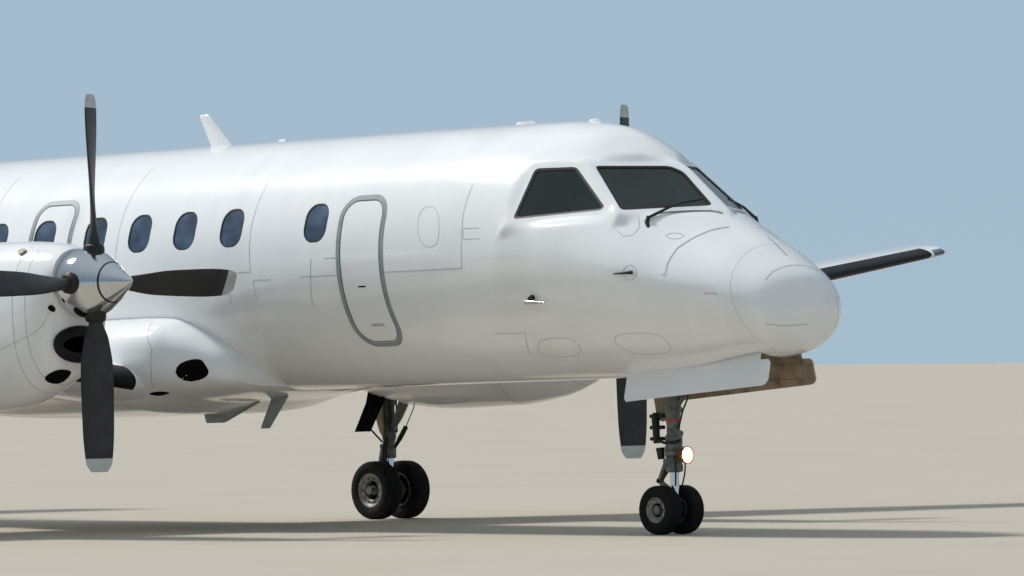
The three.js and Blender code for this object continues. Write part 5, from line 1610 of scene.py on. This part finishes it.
# Lines on the fuselage skin: finish, width, sides, rounds of softening where the line is closed, then points
# on the starboard side
BOTH, STARBOARD, PORT = (1, -1), (-1,), (1,)
SKIN_LINES = (
    # joints of the cabin's sheets
    ("seam", 0.005, BOTH, 0, [(-1.39, -0.98, 0.59), (-1.4, -1.095, 0.35), (-1.38, -1.148, 0.1),
        (-1.39, -1.145, -0.147)]),
    ("seam", 0.005, BOTH, 0, [(-2.43, -1.146, -0.147), (-1.39, -1.145, -0.147)]),
    ("seam", 0.005, BOTH, 0, [(-3.5, -1.145, -0.15), (-3.0, -1.145, -0.15)]),
    ("seam", 0.005, BOTH, 0, [(-3.335, -1.155, 0.015), (-3.37, -1.12, -0.22), (-3.41, -1.078, -0.415)]),
    ("tip", 0.008, BOTH, 0, [(-4.17, -0.9, 0.74), (-4.17, -1.12, 0.28), (-4.15, -1.152, -0.08),
        (-4.455, -1.152, -0.08), (-4.47, -1.13, -0.23), (-4.48, -1.097, -0.36)]),
    ("seam", 0.005, BOTH, 0, [(-3.9, -1.145, -0.163), (-4.128, -1.145, -0.155), (-4.127, -1.108, -0.33)]),
    ("seam", 0.003, BOTH, 3, [(-1.99, -1.07, 0.42), (-1.716, -1.08, 0.41), (-1.65, -1.15, 0.05),
        (-1.925, -1.15, 0.06)]),
    ("seam", 0.004, BOTH, 0, [(-1.165, -1.128, 0.2), (-1.376, -1.132, 0.2), (-1.36, -1.147, 0.105),
        (-1.15, -1.143, 0.105)]),
    # the door's slot as a flat black strip of painted shade, its light handle plate and the mark beside it
    ("pit", 0.014, STARBOARD, 0, [(-2.755, -1.125, -0.265), (-2.66, -1.124, -0.265)]),
    ("tip", 0.03, STARBOARD, 0, [(-2.745, -0.98, -0.61), (-2.575, -0.98, -0.61)]),
    ("tip", 0.009, STARBOARD, 0, [(-3.16, -1.155, 0.005), (-2.965, -1.155, 0.005)]),
    # panels low on the nose, and the service panels beside the windscreen
    ("seam", 0.004, BOTH, 2, [(0.2, -0.82, -0.77), (0.68, -0.74, -0.78), (0.64, -0.55, -0.96),
        (0.2, -0.6, -0.97), (0.08, -0.75, -0.85)]),
    ("seam", 0.004, BOTH, 2, [(-0.77, -0.85, -0.79), (-0.3, -0.82, -0.8), (-0.4, -0.64, -0.96),
        (-0.93, -0.66, -0.95)]),
    ("seam", 0.004, BOTH, 0, [(-1.26, -0.9, -0.73), (-0.87, -0.89, -0.74), (-1.02, -0.7, -0.92)]),
    ("seam", 0.004, BOTH, 3, [(0.66, -0.685, 0.056), (0.72, -0.595, 0.088), (0.82, -0.56, 0.05),
        (0.77, -0.65, 0.017)]),
    ("seam", 0.004, BOTH, 0, [(0.37, -0.69, 0.25), (0.45, -0.76, 0.14), (0.43, -0.82, 0.07),
        (0.36, -0.87, 0.06), (0.28, -0.87, 0.11)]),
    # the disc of the flow vane
    ("seam", 0.004, BOTH, 3, [(0.515, -0.96, -0.165), (0.605, -0.94, -0.255), (0.515, -0.96, -0.345),
        (0.425, -0.98, -0.255)]),
    # the sealant strip from the port wiper, and the conductor strips on the radome
    ("rubber", 0.007, PORT, 0, [(1.183, -0.079, 0.028), (1.469, -0.021, -0.149)]),
    ("seam", 0.005, BOTH, 0, [(1.605, -0.408, -0.361), (1.6, -0.3, -0.28), (1.598, -0.15, -0.24),
        (1.595, 0, -0.231)]),
    ("seam", 0.005, STARBOARD, 0, [(1.65, -0.458, -0.742), (1.72, -0.25, -0.75), (1.766, -0.068, -0.748)]),
    ("seam", 0.005, STARBOARD, 0, [(1.72, 0.343, -0.497), (1.705, 0.37, -0.65), (1.682, 0.372, -0.782)]),
    ("spun", 0.014, BOTH, 0, [(1.186, -0.736, -0.458), (1.3, -0.68, -0.47)]),
    # painted shade: a grey strip standing for the shadowed recess under the windscreens
    ("door_grey", 0.05, BOTH, 0, [(0.5, -0.555, 0.26), (0.66, -0.31, 0.29), (0.79, -0.07, 0.258)]),
)
FRAME_LINES = (-6.0, -7.9, -9.2, -10.2)
# the raised lip that catches the light ahead of the windscreens
NOSE_LIP = ((0.815, -0.857, -0.28), (0.806, -0.807, -0.176), (0.813, -0.698, -0.054), (0.858, -0.555, 0.031),
            (0.9, -0.36, 0.095), (0.958, -0.18, 0.132))


def door_surrounds():
    """Grey bands round the exits with the dark gap inside."""
    bands, gaps = [], []
    for door in ("forward_exit", "passenger_door", "overwing_exit_left", "overwing_exit_right"):
        for made, grow, width, lift in ((bands, 0.03, 0.05, 0.0022), (gaps, 0.0025, 0.007, 0.0026)):
            outline, x, z, side = door_outline(door, grow)
            path = dense(outline, 0.03, True) + (x, z)
            made.append(band(hull_side(*path.T, side), width, lift=lift, closed=True))
    dress(joined("door_surround_bands", bands), "door_grey")
    dress(joined("door_gaps", gaps), "rubber")


def skin_lines():
    """The lines, small panels and raised lip on the fuselage skin."""
    made = {}
    for finish, width, sides, rounds, points in SKIN_LINES:
        for side in sides:
            path = mirrored(softened(points, rounds), side)
            made.setdefault(finish, []).append(band(path, width, closed=rounds > 0))
    for side in BOTH:
        for x in FRAME_LINES:
            made["seam"].append(band(hull_side(x, np.linspace(0.95, -0.3, 30), side), 0.004))
    for finish, pieces in made.items():
        dress(joined("skin_lines_" + finish, pieces), finish)
    lips = [band(mirrored(NOSE_LIP, side), 0.035, lift=0.006, thick=0.008) for side in BOTH]
    dress(joined("nose_lips", lips), "white")


# Corners of plates on the fairing and the nacelles, on their starboard sides
RAM_INLET = ((-5.06, -1.29, -0.99), (-5.03, -1.28, -0.9), (-4.93, -1.23, -0.855), (-4.84, -1.17, -0.85),
             (-4.8, -1.15, -0.9), (-4.77, -1.12, -0.98), (-4.84, -1.14, -1.035), (-4.99, -1.2, -1.06))
LOUVRE = ((-5.47, -1.28, -1.15), (-5.33, -1.24, -1.13), (-5.26, -1.15, -1.15), (-5.41, -1.17, -1.18))
FAIRING_SEAM = ((-5.47, -1.2, -0.49), (-5.25, -1.4, -0.75), (-5.27, -1.39, -0.99), (-5.35, -1.31, -1.1))
COWL_VENT = ((-4.04, -3.705, -0.4), (-4.0, -3.68, -0.365), (-3.998, -3.63, -0.415), (-4.01, -3.66, -0.445))
COWL_SCOOP = ((-4.5, -3.63, 0.11), (-4.45, -3.6, 0.13), (-4.38, -3.61, 0.115), (-4.43, -3.66, 0.075))
CHIN_VENT = ((-4.11, -3.53, -0.94), (-4.1, -3.38, -0.95), (-4.14, -3.37, -1.0), (-4.24, -3.4, -1.065),
             (-4.27, -3.53, -1.05), (-4.24, -3.58, -1.0))
COWL_LINES = (-4.25, -4.4, -5.2)


def fittings():
    """The ram inlets and louvres of the fairing, and the vents, scoops and joint lines of the nacelles."""
    pits, scoops, lines = [], [], []
    for side in BOTH:
        nacelle = NACELLE_SKINS[side]
        # painted shade: the ram inlets, louvres and vents are flat black plates, for the shade inside their
        # openings
        pits += [patch(softened(mirrored(plate, side), 1), FAIRING_SKIN) for plate in (RAM_INLET, LOUVRE)]
        for vent in (COWL_VENT, CHIN_VENT):
            pits.append(patch(softened(mirrored(vent, side), 2), nacelle, 0.006, 0.02))
        scoops.append(patch(softened(mirrored(COWL_SCOOP, side)), nacelle, 0.02, 0.03))
        lines.append(band(mirrored(FAIRING_SEAM, side), 0.004, FAIRING_SKIN))
        lines += [band(nacelle.point(x, circle(72))[6:-6], 0.004, nacelle) for x in COWL_LINES]
        for turn in (1.9, 2 * math.pi - 1.9):
            lines.append(band(nacelle.point(np.linspace(-4.02, -6.2, 40), turn), 0.004, nacelle))
    dress(joined("inlets_and_vents", pits), "pit")
    dress(joined("cowl_scoops", scoops), "primer")
    dress(joined("cowl_lines", lines), "seam")


def wipers():
    """A wiper before each windscreen: a driving post, a bent arm and a rubber blade lying on the glass."""
    strokes = (
        ([(0.5, 0.7, 0.13), (0.47, 0.69, 0.185), (0.475, 0.67, 0.235)], 0.02),
        ([(0.475, 0.67, 0.225), (0.535, 0.465, 0.315), (0.575, 0.35, 0.345)], (0.014, 0.012, 0.008)),
        ([(0.5, 0.5, 0.318), (0.57, 0.33, 0.352), (0.648, 0.155, 0.383)], 0.011))
    for word, side in SIDES:
        made = [rod(np.array(path) * (1, side, 1), radius, 10) for path, radius in strokes]
        dress(joined("wiper_" + word, made), "rubber")


def probes():
    """The flow vane and the pitot tube on each side of the nose, and the black post on its port side."""
    vane = [(0.55, 0.965, -0.255), (0.5, 1.0, -0.258), (0.37, 1.02, -0.262)]
    mast = [(-0.6, 1.03, -0.42), (-0.585, 1.1, -0.45)]
    pitot = [(-0.64, 1.1, -0.475), (-0.55, 1.105, -0.478), (-0.4, 1.11, -0.485)]
    metal, black = [], [rod([(0.69, 0.42, 0.19), (0.695, 0.41, 0.06)], 0.014)]
    for side in BOTH:
        black.append(rod(np.array(vane) * (1, side, 1), (0.018, 0.012, 0.006)))
        black.append(rod(np.array(mast) * (1, side, 1), 0.026, 16))
        metal.append(rod(np.array(pitot) * (1, side, 1), (0.022, 0.016, 0.008), 16))
    dress(joined("nose_probes", metal), "spun")
    dress(joined("nose_vanes", black), "rubber")


# Stage

CAMERA = {"azimuth": 45.6725, "elevation": -0.4414, "roll": -0.6483, "lens": 269.9,
          "place": (55.495, -48.215, 1.664)}


def stage():
    """The floor, the soft lights, the studio sky and the camera at the photograph's angle."""
    scene = bpy.context.scene
    half = 400.0
    corners = [(-half, -half, 0), (half, -half, 0), (half, half, 0), (-half, half, 0)]
    floor = build(corners, [(0, 1, 2, 3)], row=True, name="floor")
    if floor.data.polygons[0].normal.z < 0:
        floor.data.flip_normals()
    floor.data.materials.append(finish_of("floor"))

    azimuth, elevation, roll = (math.radians(CAMERA[k]) for k in ("azimuth", "elevation", "roll"))
    ahead = np.array([-math.sin(azimuth) * math.cos(elevation), math.cos(azimuth) * math.cos(elevation),
        -math.sin(elevation)])
    right = np.array([math.cos(azimuth), math.sin(azimuth), 0])
    above = np.cross(right, ahead)
    rolled_right = math.cos(roll) * right + math.sin(roll) * above
    rolled_above = -math.sin(roll) * right + math.cos(roll) * above
    data = bpy.data.cameras.new("camera")
    data.lens, data.sensor_width, data.clip_end = CAMERA["lens"], 36.0, 900.0
    camera = bpy.data.objects.new("camera", data)
    scene.collection.objects.link(camera)
    axes = np.eye(4)
    axes[:3, 0], axes[:3, 1], axes[:3, 2], axes[:3, 3] = rolled_right, rolled_above, -ahead, CAMERA["place"]
    camera.matrix_world = Matrix(axes.tolist())
    scene.camera = camera

    sun = bpy.data.lights.new("key", "SUN")
    sun.energy, sun.angle = 3.1, math.radians(9)
    sun.color = (1.0, 0.98, 0.94)
    lamp = bpy.data.objects.new("key", sun)
    scene.collection.objects.link(lamp)
    lamp.rotation_euler = Vector((-0.62, -0.2, 0.76)).to_track_quat("Z", "Y").to_euler()

    world = bpy.data.worlds.new("studio")
    scene.world = world
    world.use_nodes = True
    tree = world.node_tree
    place = add(tree, "ShaderNodeTexCoord").outputs["Generated"]
    height = add(tree, "ShaderNodeSeparateXYZ", [("Vector", place)]).outputs["Z"]
    share = add(tree, "ShaderNodeMath", [(0, height)], [(1, 0.5), (2, 0.5)], operation="MULTIPLY_ADD")
    colour = ramp(tree, share.outputs["Value"], [(0.0, "#8A8174"), (0.5, "#A6BDCE"), (0.525, "#A3BBCD"),
        (0.555, "#7F93A3"), (0.65, "#8B9BA8"), (0.85, "#B0BAC3"), (1.0, "#BFC8D0")])
    background = tree.nodes["Background"]
    tree.links.new(colour, background.inputs["Color"])
    background.inputs["Strength"].default_value = 1.0
    scene.view_settings.view_transform = "Standard"


# Add-on


class AirlinerLook(bpy.types.PropertyGroup):
    """Sizes and colours that can be changed before the pieces are built."""

    paint_colour: bpy.props.StringProperty(name="Paint", description="sRGB hex colour of the gloss enamel",
        default="#F3F4F5")
    glass_colour: bpy.props.StringProperty(name="Glass tint",
        description="sRGB hex colour of the flight-deck glass", default="#5E716B")
    floor_colour: bpy.props.StringProperty(name="Floor", description="sRGB hex colour of the studio floor",
        default="#B5AC9E")
    window_width: bpy.props.FloatProperty(name="Cabin window width",
        description="Width of each cabin window", default=0.3, min=0.2, max=0.4, unit="LENGTH",
        subtype="DISTANCE")
    window_height: bpy.props.FloatProperty(name="Cabin window height",
        description="Height of each cabin window", default=0.353, min=0.25, max=0.45, unit="LENGTH",
        subtype="DISTANCE")


class AIRLINER_OT_fuselage(bpy.types.Operator):
    """Adds the cabin, aft fuselage and tail cone, with the doors cut from the same skin"""
    bl_idname = "airliner.fuselage"
    bl_label = "Fuselage and doors"

    def execute(self, context):
        skin_pieces()
        return {"FINISHED"}


class AIRLINER_OT_cabin_windows(bpy.types.Operator):
    """Adds the domed cabin windows with their seals"""
    bl_idname = "airliner.cabin_windows"
    bl_label = "Cabin windows"

    def execute(self, context):
        window_panes()
        return {"FINISHED"}


class AIRLINER_OT_flight_deck(bpy.types.Operator):
    """Adds the hollow nose with its window frames, and the radome"""
    bl_idname = "airliner.flight_deck"
    bl_label = "Flight deck and radome"

    def execute(self, context):
        flight_deck()
        return {"FINISHED"}


class AIRLINER_OT_flight_deck_glass(bpy.types.Operator):
    """Adds the windscreens and side windows with their rubber seals"""
    bl_idname = "airliner.flight_deck_glass"
    bl_label = "Windscreens"

    def execute(self, context):
        flight_deck_glass()
        return {"FINISHED"}


class AIRLINER_OT_seats(bpy.types.Operator):
    """Adds both pilots' padded seats"""
    bl_idname = "airliner.seats"
    bl_label = "Pilots' seats"

    def execute(self, context):
        seats()
        return {"FINISHED"}


class AIRLINER_OT_instrument_panel(bpy.types.Operator):
    """Adds the glareshield, displays, pedestal and control wheels"""
    bl_idname = "airliner.instrument_panel"
    bl_label = "Instrument panel"

    def execute(self, context):
        instrument_panel()
        return {"FINISHED"}


class AIRLINER_OT_door_surrounds(bpy.types.Operator):
    """Adds the grey door surrounds and the door gaps"""
    bl_idname = "airliner.door_surrounds"
    bl_label = "Door surrounds"

    def execute(self, context):
        door_surrounds()
        return {"FINISHED"}


class AIRLINER_OT_skin_lines(bpy.types.Operator):
    """Adds the joints, small panels and marks of the fuselage skin"""
    bl_idname = "airliner.skin_lines"
    bl_label = "Skin lines"

    def execute(self, context):
        skin_lines()
        return {"FINISHED"}


class AIRLINER_OT_fittings(bpy.types.Operator):
    """Adds the inlets and vents of the fairing and nacelles, with their joint lines"""
    bl_idname = "airliner.fittings"
    bl_label = "Inlets and vents"

    def execute(self, context):
        fittings()
        return {"FINISHED"}


class AIRLINER_OT_nose_fittings(bpy.types.Operator):
    """Adds the wipers, the flow vanes and the pitot tubes"""
    bl_idname = "airliner.nose_fittings"
    bl_label = "Wipers and probes"

    def execute(self, context):
        wipers()
        probes()
        return {"FINISHED"}


class AIRLINER_OT_root_fairing(bpy.types.Operator):
    """Adds the fairing round the wing roots"""
    bl_idname = "airliner.root_fairing"
    bl_label = "Wing root fairing"

    def execute(self, context):
        root_fairing()
        return {"FINISHED"}


class AIRLINER_OT_wings(bpy.types.Operator):
    """Adds the wings, flaps and ailerons"""
    bl_idname = "airliner.wings"
    bl_label = "Wings"

    def execute(self, context):
        wings()
        return {"FINISHED"}


class AIRLINER_OT_tail(bpy.types.Operator):
    """Adds the fin, rudder, tailplanes and elevators"""
    bl_idname = "airliner.tail"
    bl_label = "Tail"

    def execute(self, context):
        tail()
        return {"FINISHED"}


class AIRLINER_OT_boots(bpy.types.Operator):
    """Adds the black rubber boots on the leading edges"""
    bl_idname = "airliner.boots"
    bl_label = "De-icing boots"

    def execute(self, context):
        boots()
        return {"FINISHED"}


class AIRLINER_OT_nacelles(bpy.types.Operator):
    """Adds the nacelles with their chin intakes and exhaust pipes"""
    bl_idname = "airliner.nacelles"
    bl_label = "Nacelles"

    def execute(self, context):
        nacelles()
        return {"FINISHED"}


class AIRLINER_OT_propellers(bpy.types.Operator):
    """Adds the spinners and the four-bladed propellers"""
    bl_idname = "airliner.propellers"
    bl_label = "Propellers"

    def execute(self, context):
        propellers()
        return {"FINISHED"}


class AIRLINER_OT_main_gear(bpy.types.Operator):
    """Adds both main legs"""
    bl_idname = "airliner.main_gear"
    bl_label = "Main legs"

    def execute(self, context):
        main_gear()
        return {"FINISHED"}


class AIRLINER_OT_nose_gear(bpy.types.Operator):
    """Adds the nose leg with its steered part and taxi light"""
    bl_idname = "airliner.nose_gear"
    bl_label = "Nose leg"

    def execute(self, context):
        nose_gear()
        return {"FINISHED"}


class AIRLINER_OT_wheels(bpy.types.Operator):
    """Adds the tyres, wheels and hub caps"""
    bl_idname = "airliner.wheels"
    bl_label = "Wheels"

    def execute(self, context):
        wheels()
        return {"FINISHED"}


class AIRLINER_OT_gear_doors(bpy.types.Operator):
    """Adds the gear doors with their ribbed insides"""
    bl_idname = "airliner.gear_doors"
    bl_label = "Gear doors"

    def execute(self, context):
        gear_doors()
        return {"FINISHED"}


class AIRLINER_OT_aerials(bpy.types.Operator):
    """Adds the aerials on top and under the belly"""
    bl_idname = "airliner.aerials"
    bl_label = "Aerials"

    def execute(self, context):
        aerials()
        return {"FINISHED"}


class AIRLINER_OT_lamps(bpy.types.Operator):
    """Adds the beacon and the lenses at the wing tips"""
    bl_idname = "airliner.lamps"
    bl_label = "Lights"

    def execute(self, context):
        lamps()
        return {"FINISHED"}


class AIRLINER_OT_stage(bpy.types.Operator):
    """Adds the pale floor, the soft light and the camera"""
    bl_idname = "airliner.stage"
    bl_label = "Stage"

    def execute(self, context):
        stage()
        return {"FINISHED"}


OPERATORS = (
    AIRLINER_OT_stage, AIRLINER_OT_fuselage, AIRLINER_OT_cabin_windows, AIRLINER_OT_flight_deck,
    AIRLINER_OT_flight_deck_glass, AIRLINER_OT_seats, AIRLINER_OT_instrument_panel,
    AIRLINER_OT_door_surrounds, AIRLINER_OT_root_fairing, AIRLINER_OT_wings, AIRLINER_OT_tail,
    AIRLINER_OT_boots, AIRLINER_OT_nacelles, AIRLINER_OT_propellers, AIRLINER_OT_main_gear,
    AIRLINER_OT_nose_gear, AIRLINER_OT_wheels, AIRLINER_OT_gear_doors, AIRLINER_OT_aerials,
    AIRLINER_OT_lamps, AIRLINER_OT_skin_lines, AIRLINER_OT_fittings, AIRLINER_OT_nose_fittings,
)


class AIRLINER_PT_pieces(bpy.types.Panel):
    """Lists the look and every piece of the airliner"""
    bl_idname = "AIRLINER_PT_pieces"
    bl_label = "Turboprop airliner"
    bl_space_type = "VIEW_3D"
    bl_region_type = "UI"
    bl_category = "Airliner"

    def draw(self, context):
        settings = context.scene.airliner_look
        for name in AirlinerLook.__annotations__:
            self.layout.prop(settings, name)
        for operator in OPERATORS:
            self.layout.operator(operator.bl_idname)


def register():
    """Adds the settings, the operators and the panel to Blender."""
    for one in (AirlinerLook, *OPERATORS, AIRLINER_PT_pieces):
        bpy.utils.register_class(one)
    bpy.types.Scene.airliner_look = bpy.props.PointerProperty(type=AirlinerLook)


def unregister():
    """Takes them away again."""
    del bpy.types.Scene.airliner_look
    for one in reversed((AirlinerLook, *OPERATORS, AIRLINER_PT_pieces)):
        bpy.utils.unregister_class(one)


def main():
    register()
    for operator in OPERATORS:
        group, name = operator.bl_idname.split(".")
        getattr(getattr(bpy.ops, group), name)()


if __name__ == "__main__":
    main()
